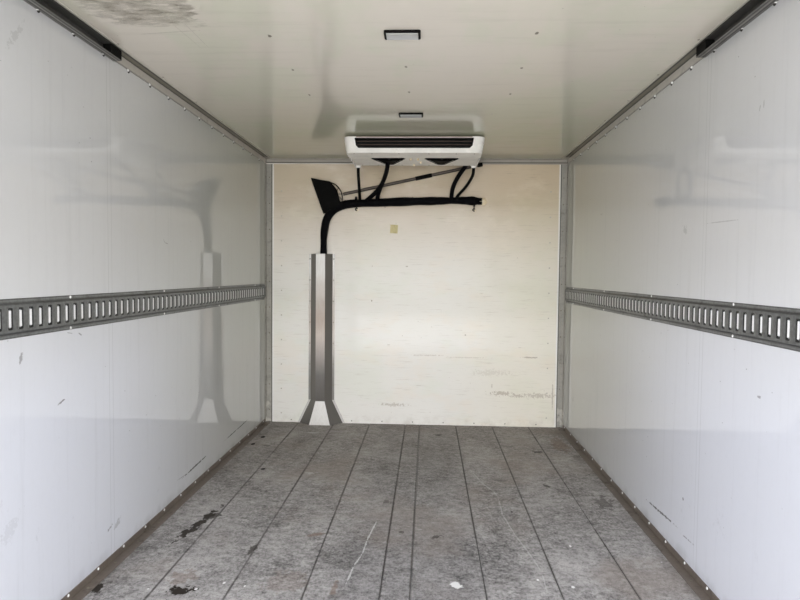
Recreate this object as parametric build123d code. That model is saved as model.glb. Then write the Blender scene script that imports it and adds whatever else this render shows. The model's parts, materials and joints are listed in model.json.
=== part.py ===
from build123d import *
import math
import os

# Insulated load body of a refrigerated truck, in millimetres.
# +X is right, +Y is forward to the bulkhead, +Z is up. The origin is at the middle of
# the footprint, at the underside of the long runners that rest on the chassis.

# Load space
load_length = 5200.0
load_width = 2420.0
load_height = 2150.0

# Sandwich panels and sheets
wall_thickness = 62.0
roof_thickness = 82.0
bulkhead_thickness = 66.0
slab_thickness = 90.0
board_thickness = 20.0
lining_thickness = 9.0
lining_inset = 51.0
lining_drop = 41.0
panel_joint_distance = 2480.0
panel_seam = 0.3
board_width = 292.5
filler_width = 116.0
board_gap = 3.0

# Outer edge profiles
profile_sheet = 3.0
profile_leg = 80.0
profile_drop = 110.0
cap_reach = 112.0
roof_edge_radius = 45.0
corner_radius = 60.0

# Inner trims
trim_sheet = 2.0
roof_trim_leg = 50.0
wall_trim_leg = 40.0
corner_trim_leg = 50.0
kick_leg = 43.0
kick_rise = 32.0
kick_sheet = 3.0

# Load rails
rail_height = 127.0
rail_bottom = 1012.0
rail_depth = 12.0
rail_sheet = 2.5
rail_flange = 13.0
rail_slope = 8.0
rail_end_gap = 60.0
rail_track_gap = 23.0
slot_pitch = 50.8
slot_width = 13.0
slot_height = 60.0

# Roof lights
light_width = 140.0
light_depth = 76.0
light_height = 9.5
light_border = 9.0
light_x = 4.0
lens_drop = 4.0
light_distances = (1394.0, 2592.0)

# Evaporator under the roof
evaporator_x = 10.0
evaporator_top_width = 936.0
evaporator_taper = 16.0
evaporator_front = 890.0
evaporator_rear = 300.0
evaporator_drop = 15.0
evaporator_height = 107.0
evaporator_wall = 4.0
evaporator_corner = 50.0
louvre_margin = 58.0
louvre_height = 68.0
louvre_below_top = 8.0
louvre_chamfer = 18.0
blade_depth = 26.0
blade_sheet = 2.5
lip_length = 185.0
deck_rise = 18.0
deck_sheet = 3.0
fan_spacing = 380.0
fan_distance = 585.0
fan_opening_radius = 115.0
fan_clearance = 7.0
scoop_rear_radius = 33.0
scoop_rear_distance = 370.0
ring_sheet = 3.0
ring_height = 40.0
spout_top_width = 72.0
spout_foot_width = 30.0
spout_depth = 27.0
spout_top_drop = 52.0
spout_foot_drop = 120.0
fan_hub_radius = 34.0
fan_hub_height = 26.0
fan_hub_round = 6.0
fan_blades = 7
fan_blade_sheet = 2.5
fan_blade_width = 62.0
fan_blade_angle = 26.0
fan_blade_root = 12.0
motor_radius = 40.0
motor_chamfer = 4.0
shaft_radius = 4.0
shaft_clearance = 0.3
shaft_engagement = 12.0
motor_gap = 8.0
coil_depth = 110.0
coil_back_gap = 12.0
hanger_length = 46.0
hanger_width = 60.0
hanger_inset = 70.0

# Pipework on the bulkhead. Points are x, distance from the lining, drop from the roof.
bundle_diameter = 56.0
bundle_points = (
    (515, 34, 338),
    (400, 34, 328),
    (-538, 34, 357),
    (-656, 34, 406),
    (-722, 34, 504),
    (-733, 34, 670),
    (-732, 34, 950),
)
lead_clearance = 0.3
pipe_diameter = 33.0
pipe_inset = 78.0
pipe_offset = 14.0
pipe_routes = (
    (
        (evaporator_x - fan_spacing / 2 - pipe_offset, 394, 90),
        (-197, 384, 121),
        (-214, 268, 154),
        (-246, 182, 215),
        (-296, 104, 270),
        (-352, 60, 312),
        (-392, 36, 344),
    ),
    ((-250, 176, 220), (-276, 118, 258), (-296, 66, 308), (-301, 36, 344)),
    (
        (evaporator_x + evaporator_top_width / 2 - pipe_inset, evaporator_rear - lead_clearance, 84),
        (evaporator_x + evaporator_top_width / 2 - pipe_inset, evaporator_rear - 32, 84),
        (336, 200, 165),
        (297, 122, 238),
        (291, 62, 304),
        (290, 36, 340),
    ),
)
hose_diameter = 22.0
hose_inset = 31.5
spout_left = evaporator_x - evaporator_top_width / 2 + hose_inset
spout_right = evaporator_x + evaporator_top_width / 2 - hose_inset
spout_distance = evaporator_rear - spout_depth / 2
spout_end = spout_foot_drop + lead_clearance
hose_routes = (
    (
        (spout_left, spout_distance, spout_end),
        (spout_left, spout_distance, 158),
        (-436, 160, 207),
        (-440, 64, 300),
        (-441, 36, 344),
    ),
    (
        (spout_right, spout_distance, spout_end),
        (spout_right, spout_distance, 158),
        (436, 212, 186),
        (396, 122, 244),
        (338, 66, 298),
        (316, 36, 342),
    ),
)
clip_positions = (-466.0, 474.0)
clip_width = 20.0
clip_sheet = 3.0
clip_foot = 30.0
foam_radius = 30.0
foam_height = 16.0

# Slim tube behind the hoses, and the dark flap at its left end, with drops from the roof
tube_diameter = 25.0
tube_left = (-578.0, 284.0)
tube_right = (532.0, 44.0)
sleeve_diameter = 32.0
sleeve_start = 596.0
sleeve_length = 132.0
tube_cap_length = 34.0
tube_clearance = 0.3
flap_thickness = 4.0
flap_corner = 12.0
flap_points = ((-829, 164), (-680, 192), (-623, 255), (-591, 374), (-728, 447))
bow_diameter = 8.0
bow_middle = (-560, 270)
strut_ends = ((-655, 250), (-612, 315))

# Pipe duct down the bulkhead
duct_x = -751.0
duct_top_drop = 766.0
duct_flange = 18.0
duct_base_width = 176.0
duct_face_width = 74.0
duct_depth = 66.0
duct_sheet = 2.0
foot_height = 190.0
foot_base_width = 356.0
foot_face_width = 170.0
foot_depth = 88.0

# Sectional roll-up door, stored open under the roof
track_height = 44.0
track_depth = 36.0
track_sheet = 2.5
track_run_out = 662.0
track_radius = 220.0
track_setback = 50.0
door_sections = 5
section_pitch = 404.0
door_thickness = 36.0
door_side_gap = 5.0
rod_diameter = 14.0
rod_clearance = 0.3
roller_clearance = 0.5
roller_width = 20.0
stop_length = 85.0
stop_round = 5.0
hinge_length = 70.0
hinge_width = 60.0
hinge_sheet = 3.0
hinge_places = (-760.0, 0.0, 760.0)
grip_place = 165.0
grip_plate = (230.0, 64.0, 4.0)
grip_width = 150.0
grip_reach = 30.0
grip_bar = 14.0
shaft_diameter = 25.0
shaft_offset = 52.0
drum_diameter = 84.0
drum_width = 36.0
spring_diameter = 58.0
spring_length = 620.0
shaft_bracket = 8.0
shaft_bore_clearance = 0.3

# Rear frame and underframe
frame_depth = 80.0
post_reach = 60.0
header_drop = 120.0
frame_radius = 12.0
sill_drop = 60.0
buffer_depth = 50.0
buffer_width = 190.0
buffer_inset = 140.0
buffer_drop = 10.0
buffer_round = 18.0
runner_height = 140.0
runner_flange = 70.0
runner_sheet = 7.0
runner_spacing = 850.0
runner_nose_gap = 160.0
cross_height = 60.0
cross_flange = 45.0
cross_sheet = 4.0
cross_count = 10
cross_inset = 15.0
bracket_count = 5
bracket_length = 160.0
bracket_leg = 90.0
bracket_rise = 100.0
bracket_end_gap = 400.0
bracket_hole_place = 0.6
bracket_sheet = 8.0
bolt_diameter = 17.0
bolt_pitch = 100.0
lamp_length = 110.0
lamp_height = 40.0
lamp_depth = 12.0
lamp_round = 8.0
lamp_end_gap = 500.0
side_lamp_count = 3
rear_lamp_offset = 820.0
rear_lamp_drop = 70.0

# Places worked out from the sizes above
half = load_width / 2
half_panel = half + wall_thickness
half_outer = half_panel + profile_sheet
overall_length = (
    profile_sheet + bulkhead_thickness + lining_thickness + load_length + frame_depth + buffer_depth
)
y_nose = overall_length / 2
y_panel = y_nose - profile_sheet
y_bulkhead = y_panel - bulkhead_thickness
y_lining = y_bulkhead - lining_thickness
y_frame = y_lining - load_length
y_back = y_frame - frame_depth
z_slab = runner_height + cross_height
z_board = z_slab + slab_thickness
z_floor = z_board + board_thickness
z_roof = z_floor + load_height
z_panel = z_roof + roof_thickness
z_top = z_panel + profile_sheet
lining_width = load_width - 2 * lining_inset
lining_height = load_height - lining_drop
header_clear = load_height - header_drop
duct_top = load_height - duct_top_drop
evaporator_bottom_width = evaporator_top_width - 2 * evaporator_taper
louvre_width = evaporator_bottom_width - 2 * louvre_margin

os.makedirs("parts", exist_ok=True)


def block(x0, x1, y0, y1, z0, z1):
    """A box between two values on each axis, given in either order."""
    lo = Vector(min(x0, x1), min(y0, y1), min(z0, z1))
    size = (abs(x1 - x0), abs(y1 - y0), abs(z1 - z0))
    return Pos(*lo) * Box(*size, align=(Align.MIN, Align.MIN, Align.MIN))


def pair(solid):
    """A solid and its mirror image across the body's middle plane."""
    return [solid, mirror(solid, about=Plane.YZ)]


def outline(points):
    """A closed face from corner points on the XY plane."""
    return make_face(Polyline(*points, close=True))


def save(node, *solids):
    """Writes one node, as one solid or as several that don't touch."""
    flat = [s for item in solids for s in item.solids()]
    whole = flat[0] if len(flat) == 1 else Compound(children=flat)
    whole.label = node
    export_step(whole, os.path.join("parts", node + ".step"))


def along_y(face, y0, y1):
    """A face drawn as x and height, standing across the body, run from y0 to y1."""
    plane = Plane(origin=(0, y1, 0), x_dir=(1, 0, 0), z_dir=(0, -1, 0))
    return extrude(plane * face, y1 - y0)


def rounded_body(inset):
    """The whole outer form with its rounded corners, taken in by a wall's thickness."""
    long_back = 400
    body = block(
        -half_outer + inset, half_outer - inset, y_frame - long_back, y_nose - inset, z_slab, z_top - inset
    )
    uprights = body.edges().filter_by(Axis.Z).group_by(Axis.Y)[-1]
    body = fillet(uprights, corner_radius - inset)
    rims = body.faces().sort_by(Axis.Z)[-1].edges()
    return fillet(rims, roof_edge_radius - inset)


# Outer form of the panels, and the thin shell that the edge profiles are cut from
panel_form = rounded_body(profile_sheet)
profile_form = rounded_body(0) - panel_form


def profile(x0, x1, y0, y1, z0, z1):
    """The part of the edge profile that lies between these limits."""
    return profile_form & block(x0, x1, y0, y1, z0, z1)


def make_panels():
    """Sandwich panels: floor, roof, bulkhead and two panels to each side wall."""
    save("floor_slab", block(-half, half, y_frame, y_bulkhead, z_slab, z_board))
    save("roof_panel", panel_form & block(-half_panel, half_panel, y_frame, y_nose, z_roof, z_panel))
    save("bulkhead_panel", block(-half, half, y_bulkhead, y_panel, z_slab, z_roof))
    y_joint = y_lining - panel_joint_distance
    for side, name in ((-1, "wall_left"), (1, "wall_right")):
        rear = block(side * half, side * half_panel, y_frame, y_joint - panel_seam / 2, z_slab, z_roof)
        front = block(side * half, side * half_panel, y_joint + panel_seam / 2, y_nose, z_slab, z_roof)
        save(name, rear, panel_form & front)
    save(
        "bulkhead_lining",
        block(-lining_width / 2, lining_width / 2, y_lining, y_bulkhead, z_floor, z_floor + lining_height),
    )


def make_floor_boards():
    """Floor boards laid lengthways either side of a narrow middle board."""
    edges = [filler_width / 2]
    while edges[-1] + board_width < half:
        edges.append(edges[-1] + board_width)
    edges.append(half + board_gap / 2)
    middle = edges[0] - board_gap / 2
    boards = [block(-middle, middle, y_frame, y_bulkhead, z_board, z_floor)]
    for low, high in zip(edges, edges[1:]):
        boards += pair(
            block(low + board_gap / 2, high - board_gap / 2, y_frame, y_bulkhead, z_board, z_floor)
        )
    save("floor_boards", *boards)


def make_edge_profiles():
    """Folded edge profiles, corner caps and bottom rails around the outside."""
    x_leg = half_outer - profile_leg
    x_cap = half_outer - cap_reach
    y_leg = y_nose - profile_leg
    y_cap = y_nose - cap_reach
    z_drop = z_top - profile_drop
    z_rail = z_slab + profile_drop
    save("roof_profile_sides", *pair(profile(x_leg, half_outer, y_frame, y_cap, z_drop, z_top)))
    save("roof_profile_front", profile(-x_cap, x_cap, y_leg, y_nose, z_drop, z_top))
    save("corner_caps", *pair(profile(x_cap, half_outer, y_cap, y_nose, z_drop, z_top)))
    save("corner_posts", *pair(profile(x_leg, half_outer, y_leg, y_nose, z_slab, z_drop)))
    side_rail = profile(half_panel, half_outer, y_frame, y_leg, z_slab, z_rail)
    front_rail = profile(-x_leg, x_leg, y_panel, y_nose, z_slab, z_rail)
    save("bottom_rails", *pair(side_rail), front_rail)


def make_inner_trims():
    """Folded angles in the corners of the load space."""
    run = y_bulkhead - y_frame
    side = outline(
        [
            (half, z_roof),
            (half, z_roof - wall_trim_leg),
            (half - trim_sheet, z_roof - wall_trim_leg),
            (half - trim_sheet, z_roof - trim_sheet),
            (half - roof_trim_leg, z_roof - trim_sheet),
            (half - roof_trim_leg, z_roof),
        ]
    )
    sides = pair(along_y(side, y_bulkhead - run, y_bulkhead))
    x_front = half - roof_trim_leg
    front = block(-x_front, x_front, y_bulkhead - wall_trim_leg, y_bulkhead, z_roof - trim_sheet, z_roof)
    x_leg = half - trim_sheet
    z1 = z_roof - wall_trim_leg
    front += block(-x_leg, x_leg, y_bulkhead - trim_sheet, y_bulkhead, z1, z_roof - trim_sheet)
    save("roof_trims", *sides, front)
    z0 = z_floor
    upright = block(half - trim_sheet, half, y_bulkhead - corner_trim_leg, y_bulkhead, z0, z1)
    upright += block(
        half - corner_trim_leg, half - trim_sheet, y_bulkhead - trim_sheet, y_bulkhead, z0, z1
    )
    save("corner_trims", *pair(upright))
    y1 = y_bulkhead - corner_trim_leg
    kick = block(half - kick_sheet, half, y_frame, y1, z_floor, z_floor + kick_rise)
    kick += block(half - kick_leg, half - kick_sheet, y_frame, y1, z_floor, z_floor + kick_sheet)
    save("kick_angles", *pair(kick))


def make_load_rails():
    """Slotted load rails: a pressed hat section with upright slots all along."""
    steps = (
        (0, 0),
        (0, rail_sheet),
        (rail_flange, rail_sheet),
        (rail_flange + rail_slope, rail_depth),
        (rail_height - rail_flange - rail_slope, rail_depth),
        (rail_height - rail_flange, rail_sheet),
        (rail_height, rail_sheet),
        (rail_height, 0),
        (rail_height - rail_flange - rail_sheet, 0),
        (rail_height - rail_flange - rail_slope - rail_sheet, rail_depth - rail_sheet),
        (rail_flange + rail_slope + rail_sheet, rail_depth - rail_sheet),
        (rail_flange + rail_sheet, 0),
    )
    z0 = z_floor + rail_bottom
    section = outline([(half - out, z0 + up) for up, out in steps])
    y0 = y_frame + track_setback + track_height / 2 + rail_track_gap
    y1 = y_lining - rail_end_gap
    rail = along_y(section, y0, y1)
    count = int((y1 - y0) / slot_pitch)
    margin = (y1 - y0 - (count - 1) * slot_pitch) / 2
    middle = z0 + rail_height / 2
    slots = [
        Pos(half - rail_depth, y0 + margin + i * slot_pitch, middle)
        * Box(3 * rail_sheet, slot_width, slot_height)
        for i in range(count)
    ]
    rail = rail - slots
    save("load_rail_right", rail)
    save("load_rail_left", mirror(rail, about=Plane.YZ))


def make_roof_lights():
    """Two flat roof lights, each a frame round a clear lens that stands a little proud."""
    frames = []
    lenses = []
    for distance in light_distances:
        y = y_lining - distance
        x = light_width / 2
        d = light_depth / 2
        outer = block(light_x - x, light_x + x, y - d, y + d, z_roof - light_height, z_roof)
        outer = fillet(outer.edges().filter_by(Axis.Z), light_border)
        hole = block(
            light_x - x + light_border,
            light_x + x - light_border,
            y - d + light_border,
            y + d - light_border,
            z_roof - light_height,
            z_roof,
        )
        frames.append(outer - hole)
        lenses.append(
            block(
                light_x - x + light_border + panel_seam,
                light_x + x - light_border - panel_seam,
                y - d + light_border + panel_seam,
                y + d - light_border - panel_seam,
                z_roof - light_height - lens_drop,
                z_roof,
            )
        )
    save("roof_light_frames", *frames)
    save("roof_light_lenses", *lenses)


# Evaporator levels and depths
z_hood_top = z_roof - evaporator_drop
z_hood_bottom = z_hood_top - evaporator_height
z_deck = z_hood_bottom + deck_rise
y_hood_front = y_lining - evaporator_front
y_hood_rear = y_lining - evaporator_rear
y_lip = y_hood_front + lip_length


def hood_section(width, inset, z):
    """The hood's plan at a height: square at the back, rounded at the front corners."""
    x = width / 2 - inset
    face = outline(
        [
            (evaporator_x - x, y_hood_front + inset),
            (evaporator_x + x, y_hood_front + inset),
            (evaporator_x + x, y_hood_rear - inset),
            (evaporator_x - x, y_hood_rear - inset),
        ]
    )
    corners = face.vertices().group_by(Axis.Y)[0]
    return Pos(0, 0, z) * fillet(corners, evaporator_corner - inset)


def make_evaporator():
    """Hood, fan deck with its scoops, fan rings, drain spouts, louvre, coil and hangers."""
    outer = loft(
        [
            hood_section(evaporator_bottom_width, 0, z_hood_bottom),
            hood_section(evaporator_top_width, 0, z_hood_top),
        ],
        ruled=True,
    )
    inner = loft(
        [
            hood_section(evaporator_bottom_width, evaporator_wall, z_hood_bottom),
            hood_section(evaporator_top_width, evaporator_wall, z_hood_top),
        ],
        ruled=True,
    )
    inside = inner & block(
        -half, half, y_hood_front, y_hood_rear, z_hood_bottom, z_hood_top - evaporator_wall
    )
    fitted = loft(
        [
            hood_section(evaporator_bottom_width, evaporator_wall + panel_seam, z_hood_bottom),
            hood_section(evaporator_top_width, evaporator_wall + panel_seam, z_hood_top),
        ],
        ruled=True,
    )
    # The back wall stops at the deck, so that pipes and hoses pass below it
    x_inside = evaporator_bottom_width / 2 - evaporator_wall
    back_notch = block(
        evaporator_x - x_inside,
        evaporator_x + x_inside,
        y_hood_rear - evaporator_wall,
        y_hood_rear,
        z_hood_bottom,
        z_deck,
    )
    z_mouth = z_hood_top - louvre_below_top
    mouth = outline(
        [
            (evaporator_x - louvre_width / 2, z_mouth),
            (evaporator_x + louvre_width / 2, z_mouth),
            (evaporator_x + louvre_width / 2 - louvre_chamfer / 2, z_mouth - louvre_height + louvre_chamfer),
            (evaporator_x + louvre_width / 2 - louvre_chamfer * 1.5, z_mouth - louvre_height),
            (evaporator_x - louvre_width / 2 + louvre_chamfer * 1.5, z_mouth - louvre_height),
            (evaporator_x - louvre_width / 2 + louvre_chamfer / 2, z_mouth - louvre_height + louvre_chamfer),
        ]
    )
    mouth_cut = along_y(mouth, y_hood_front - 1, y_hood_front + evaporator_wall + 1)
    save("evaporator_hood", outer - inside - mouth_cut - back_notch)

    # The deck is the underside: a low lip in front, a step up, and the fan deck behind
    deck = fitted & block(-half, half, y_hood_front, y_lip, z_hood_bottom, z_hood_bottom + deck_sheet)
    deck += fitted & block(-half, half, y_lip - deck_sheet, y_lip, z_hood_bottom, z_deck + deck_sheet)
    deck += fitted & block(-half, half, y_lip, y_hood_rear, z_deck, z_deck + deck_sheet)
    rings = []
    for side in (-1, 1):
        x_fan = evaporator_x + side * fan_spacing / 2
        y_fan = y_lining - fan_distance
        wide = Pos(x_fan, y_fan) * Circle(fan_opening_radius)
        narrow = Pos(x_fan, y_lining - scoop_rear_distance) * Circle(scoop_rear_radius)
        scoop = make_hull((wide + narrow).edges())
        ring = Pos(x_fan, y_fan) * (Circle(fan_opening_radius + ring_sheet) - Circle(fan_opening_radius))
        deck -= extrude(Pos(0, 0, z_deck - 1) * scoop, deck_sheet + 2)
        rings.append(extrude(Pos(0, 0, z_deck + deck_sheet) * ring, ring_height))
    save("evaporator_deck", deck)
    save("fan_rings", *rings)

    # A funnel behind each end of the hood leads the drain water into its hose
    spouts = []
    for side in (-1, 1):
        x = evaporator_x + side * (evaporator_top_width / 2 - hose_inset)
        y = y_hood_rear + spout_depth / 2
        mouth = Pos(x, y, z_roof - spout_top_drop) * Rectangle(spout_top_width, spout_depth)
        foot = Pos(x, y, z_roof - spout_foot_drop) * Rectangle(spout_foot_width, spout_depth)
        spouts.append(loft([foot, mouth], ruled=True))
    save("drain_spouts", *spouts)

    blades = []
    for i in (1, 2):
        z = z_mouth - louvre_height * i / 3
        narrowing = louvre_chamfer * i / 3
        length = louvre_width - narrowing - 2 * evaporator_wall
        blades.append(
            block(
                evaporator_x - length / 2,
                evaporator_x + length / 2,
                y_hood_front + evaporator_wall + panel_seam,
                y_hood_front + evaporator_wall + panel_seam + blade_depth,
                z - blade_sheet / 2,
                z + blade_sheet / 2,
            )
        )
    cheeks = []
    for side in (-1, 1):
        x0 = evaporator_x + side * (louvre_width / 2)
        cheeks.append(
            block(
                x0,
                x0 - side * (louvre_chamfer + evaporator_wall),
                y_hood_front + evaporator_wall + panel_seam,
                y_hood_front + evaporator_wall + panel_seam + blade_depth,
                z_mouth - louvre_height,
                z_mouth,
            )
        )
    louvre = blades[0] + blades[1] + cheeks[0] + cheeks[1]
    save("evaporator_louvre", louvre)

    coil_width = louvre_width
    save(
        "evaporator_coil",
        block(
            evaporator_x - coil_width / 2,
            evaporator_x + coil_width / 2,
            y_lip - deck_sheet - coil_back_gap - coil_depth,
            y_lip - deck_sheet - coil_back_gap,
            z_hood_bottom + deck_sheet,
            z_hood_top - evaporator_wall,
        ),
    )
    hangers = []
    for side in (-1, 1):
        x = evaporator_x + side * (evaporator_top_width / 2 - hanger_inset)
        for y in (y_hood_front + hanger_inset, y_hood_rear - hanger_inset - hanger_length):
            hangers.append(
                block(
                    x - hanger_width / 2,
                    x + hanger_width / 2,
                    y,
                    y + hanger_length,
                    z_hood_top,
                    z_roof,
                )
            )
    save("evaporator_hangers", *hangers)


def make_fans():
    """Axial fans that hang from their motors over the scoops."""
    y_fan = y_lining - fan_distance
    z_fan = z_deck + deck_sheet + ring_height / 2
    z_motor = z_fan + fan_hub_height / 2 + motor_gap
    tip = fan_opening_radius - fan_clearance
    motors = []
    for side, name in ((-1, "fan_left"), (1, "fan_right")):
        x_fan = evaporator_x + side * fan_spacing / 2
        hub = Cylinder(fan_hub_radius, fan_hub_height)
        hub = fillet(hub.edges().sort_by(Axis.Z)[0], fan_hub_round)
        rotor = hub
        for i in range(fan_blades):
            blade = Pos((tip + fan_hub_radius) / 2, 0, 0) * (
                Rot(fan_blade_angle, 0, 0)
                * Box(tip - fan_hub_radius + fan_blade_root, fan_blade_width, fan_blade_sheet)
            )
            rotor += Rot(0, 0, 360 * i / fan_blades) * blade
        rotor = rotor & Cylinder(tip, ring_height * 2)
        spindle_top = fan_hub_height / 2 + motor_gap + shaft_engagement
        rotor += Cylinder(shaft_radius, spindle_top, align=(Align.CENTER, Align.CENTER, Align.MIN))
        save(name, Pos(x_fan, y_fan, z_fan) * rotor)
        height = z_hood_top - evaporator_wall - z_motor
        motor = Cylinder(motor_radius, height, align=(Align.CENTER, Align.CENTER, Align.MIN))
        motor = chamfer(motor.edges().sort_by(Axis.Z)[0], motor_chamfer)
        motor -= Cylinder(
            shaft_radius + shaft_clearance,
            shaft_engagement + shaft_clearance,
            align=(Align.CENTER, Align.CENTER, Align.MIN),
        )
        motors.append(Pos(x_fan, y_fan, z_motor) * motor)
    save("fan_motors", *motors)


def route(points, diameter):
    """A tube along straight runs joined by arcs as large as the runs allow."""
    places = [Vector(x, y_lining - d, z_roof - drop) for x, d, drop in points]
    runs = [b - a for a, b in zip(places, places[1:])]
    radii = []
    for first, second in zip(runs, runs[1:]):
        half_turn = math.radians(first.get_angle(second)) / 2
        radii.append(0.45 * min(first.length, second.length) / math.tan(half_turn))
    print("radii", [round(r) for r in radii])
    path = FilletPolyline(*places, radius=radii)
    section = Plane(origin=places[0], z_dir=runs[0]) * Circle(diameter / 2)
    return sweep(section, path=path)


def make_pipework():
    """Taped pipe bundle with its branches, clips and the sealed hole at its end."""
    bundle = route(bundle_points, bundle_diameter)
    save("pipe_bundle", bundle)
    around_bundle = route(bundle_points, bundle_diameter + 2 * lead_clearance)
    left, branch, right = [route(points, pipe_diameter) for points in pipe_routes]
    around_left = route(pipe_routes[0], pipe_diameter + 2 * lead_clearance)
    save("coolant_pipe_left", left - around_bundle)
    save("coolant_pipe_branch", branch - around_bundle - around_left)
    save("coolant_pipe_right", right - around_bundle)
    save("drain_hoses", *[route(points, hose_diameter) - around_bundle for points in hose_routes])
    clips = []
    for x in clip_positions:
        i = 0 if x > bundle_points[1][0] else 1
        start = bundle_points[i]
        end = bundle_points[i + 1]
        share = (x - start[0]) / (end[0] - start[0])
        z = z_roof - start[2] - share * (end[2] - start[2])
        run = Vector(start[0] - end[0], 0, end[2] - start[2]).normalized()
        inner = bundle_diameter / 2 + lead_clearance
        strap = Circle(inner + clip_sheet) - Circle(inner)
        gap = outline([(-inner * 2, -inner * 2), (inner * 2, -inner * 2), (inner * 2, 0), (-inner * 2, 0)])
        strap = strap - gap
        reach = bundle_points[0][1]
        for s in (-1, 1):
            x0 = s * inner
            x1 = s * (inner + clip_sheet)
            foot = s * (inner + clip_foot)
            strap += outline([(x0, 0), (x1, 0), (x1, -reach + clip_sheet), (x0, -reach + clip_sheet)])
            strap += outline(
                [(x0, -reach), (foot, -reach), (foot, -reach + clip_sheet), (x0, -reach + clip_sheet)]
            )
        middle = Vector(x, y_lining - reach, z)
        plane = Plane(origin=middle - run * (clip_width / 2), x_dir=(-run.Z, 0, run.X), z_dir=run)
        clips.append(extrude(plane * strap, clip_width))
    save("pipe_clips", *clips)
    x, d, drop = bundle_points[0]
    foam = Pos(x + foam_radius, y_lining, z_roof - drop) * Rot(90, 0, 0) * Cone(
        foam_radius, foam_radius * 0.6, foam_height, align=(Align.CENTER, Align.CENTER, Align.MIN)
    )
    save("foam_seal", foam - around_bundle)


def make_slim_tube():
    """Slim tube on the bulkhead with its sleeve and end cap, and the dark flap beside it."""
    # The sleeve and the end cap rest on the bulkhead and hold the tube off it
    r = tube_diameter / 2
    y_tube = y_lining - sleeve_diameter / 2 - tube_clearance
    start = Vector(tube_left[0], y_tube, z_roof - tube_left[1])
    end = Vector(tube_right[0], y_tube, z_roof - tube_right[1])
    line = Plane(origin=start, x_dir=(0, 1, 0), z_dir=end - start)
    length = (end - start).length
    up = (Align.CENTER, Align.CENTER, Align.MIN)
    save("slim_tube", line * Cylinder(r, length, align=up))
    bore = r + tube_clearance
    sleeve = Pos(0, 0, sleeve_start) * (
        Cylinder(sleeve_diameter / 2, sleeve_length, align=up) - Cylinder(bore, sleeve_length, align=up)
    )
    cap = Pos(0, 0, length - tube_cap_length) * (
        Cylinder(sleeve_diameter / 2, tube_cap_length + clip_sheet, align=up)
        - Cylinder(bore, tube_cap_length, align=up)
    )
    save("tube_sleeves", line * sleeve, line * cap)

    y_bundle = y_lining - bundle_points[3][1] - bundle_diameter / 2
    y_flap = y_bundle - lead_clearance - (bow_diameter - flap_thickness) / 2
    front = Plane(origin=(0, y_flap, z_roof), x_dir=(1, 0, 0), z_dir=(0, -1, 0))
    sheet = outline([(x, -drop) for x, drop in flap_points])
    sheet = fillet(sheet.vertices(), flap_corner)
    flap = extrude(front * sheet, flap_thickness)
    centre = flap_thickness / 2
    top = flap_points[1]
    foot = flap_points[3]
    arc = ThreePointArc(
        (top[0], -top[1], centre), (bow_middle[0], -bow_middle[1], centre), (foot[0], -foot[1], centre)
    )
    bow = sweep(Plane(origin=arc @ 0, z_dir=arc % 0) * Circle(bow_diameter / 2), path=arc)
    for share, (x, drop) in zip((0.35, 0.65), strut_ends):
        near = arc @ share
        rod = Line((near.X, near.Y, centre), (x, -drop, centre))
        bow += sweep(Plane(origin=rod @ 0, z_dir=rod % 0) * Circle(bow_diameter / 4), path=rod)
    save("dark_flap", flap + front * bow)


def duct_section(base_width, face_width, depth):
    """A folded hat section as points: offset across the bulkhead, and distance from it."""
    b = base_width / 2
    f = face_width / 2
    t = duct_sheet
    right = [
        (b + duct_flange, 0),
        (b + duct_flange, t),
        (b, t),
        (f, depth),
    ]
    inner = [
        (b - t * 1.2, 0),
        (f - t * 0.6, depth - t),
    ]
    left = [(-x, d) for x, d in reversed(right)]
    inner_left = [(-x, d) for x, d in inner]
    return [*right, *left, *inner_left, *reversed(inner)]


def make_duct():
    """The folded pipe duct and its flared foot."""
    straight = duct_section(duct_base_width, duct_face_width, duct_depth)
    flared = duct_section(foot_base_width, foot_face_width, foot_depth)

    def at(points, z):
        return make_face(Polyline(*[(duct_x + x, y_lining - d, z) for x, d in points], close=True))

    z_joint = z_floor + foot_height
    cover = extrude(at(straight, z_joint), duct_top - foot_height, dir=(0, 0, 1))
    save("duct_cover", cover)
    save("duct_foot", loft([at(flared, z_floor), at(straight, z_joint)], ruled=True))


# Door path: up the rear posts, round the bend and forward under the roof
y_track = y_frame + track_setback
z_track = z_roof - trim_sheet - track_height / 2
x_track = half - trim_sheet


def door_joints():
    """Hinge points of the open door, as y and z, from its bottom edge forward."""
    y_bend = y_track + track_radius
    drop = z_track - (z_floor + header_clear)
    angle = math.acos(1 - drop / track_radius)
    first = (y_bend - track_radius * math.sin(angle), z_track - drop)
    reach = math.sqrt(section_pitch**2 - drop**2)
    points = [first, (first[0] + reach, z_track)]
    for _ in range(door_sections - 1):
        points.append((points[-1][0] + section_pitch, z_track))
    return points


def track_section():
    """The track's channel section: across from the wall, and either side of its middle."""
    h = track_height / 2
    t = track_sheet
    return [
        (0, -h),
        (0, h),
        (track_depth, h),
        (track_depth, h - t),
        (t, h - t),
        (t, -h + t),
        (track_depth, -h + t),
        (track_depth, -h),
    ]


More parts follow.
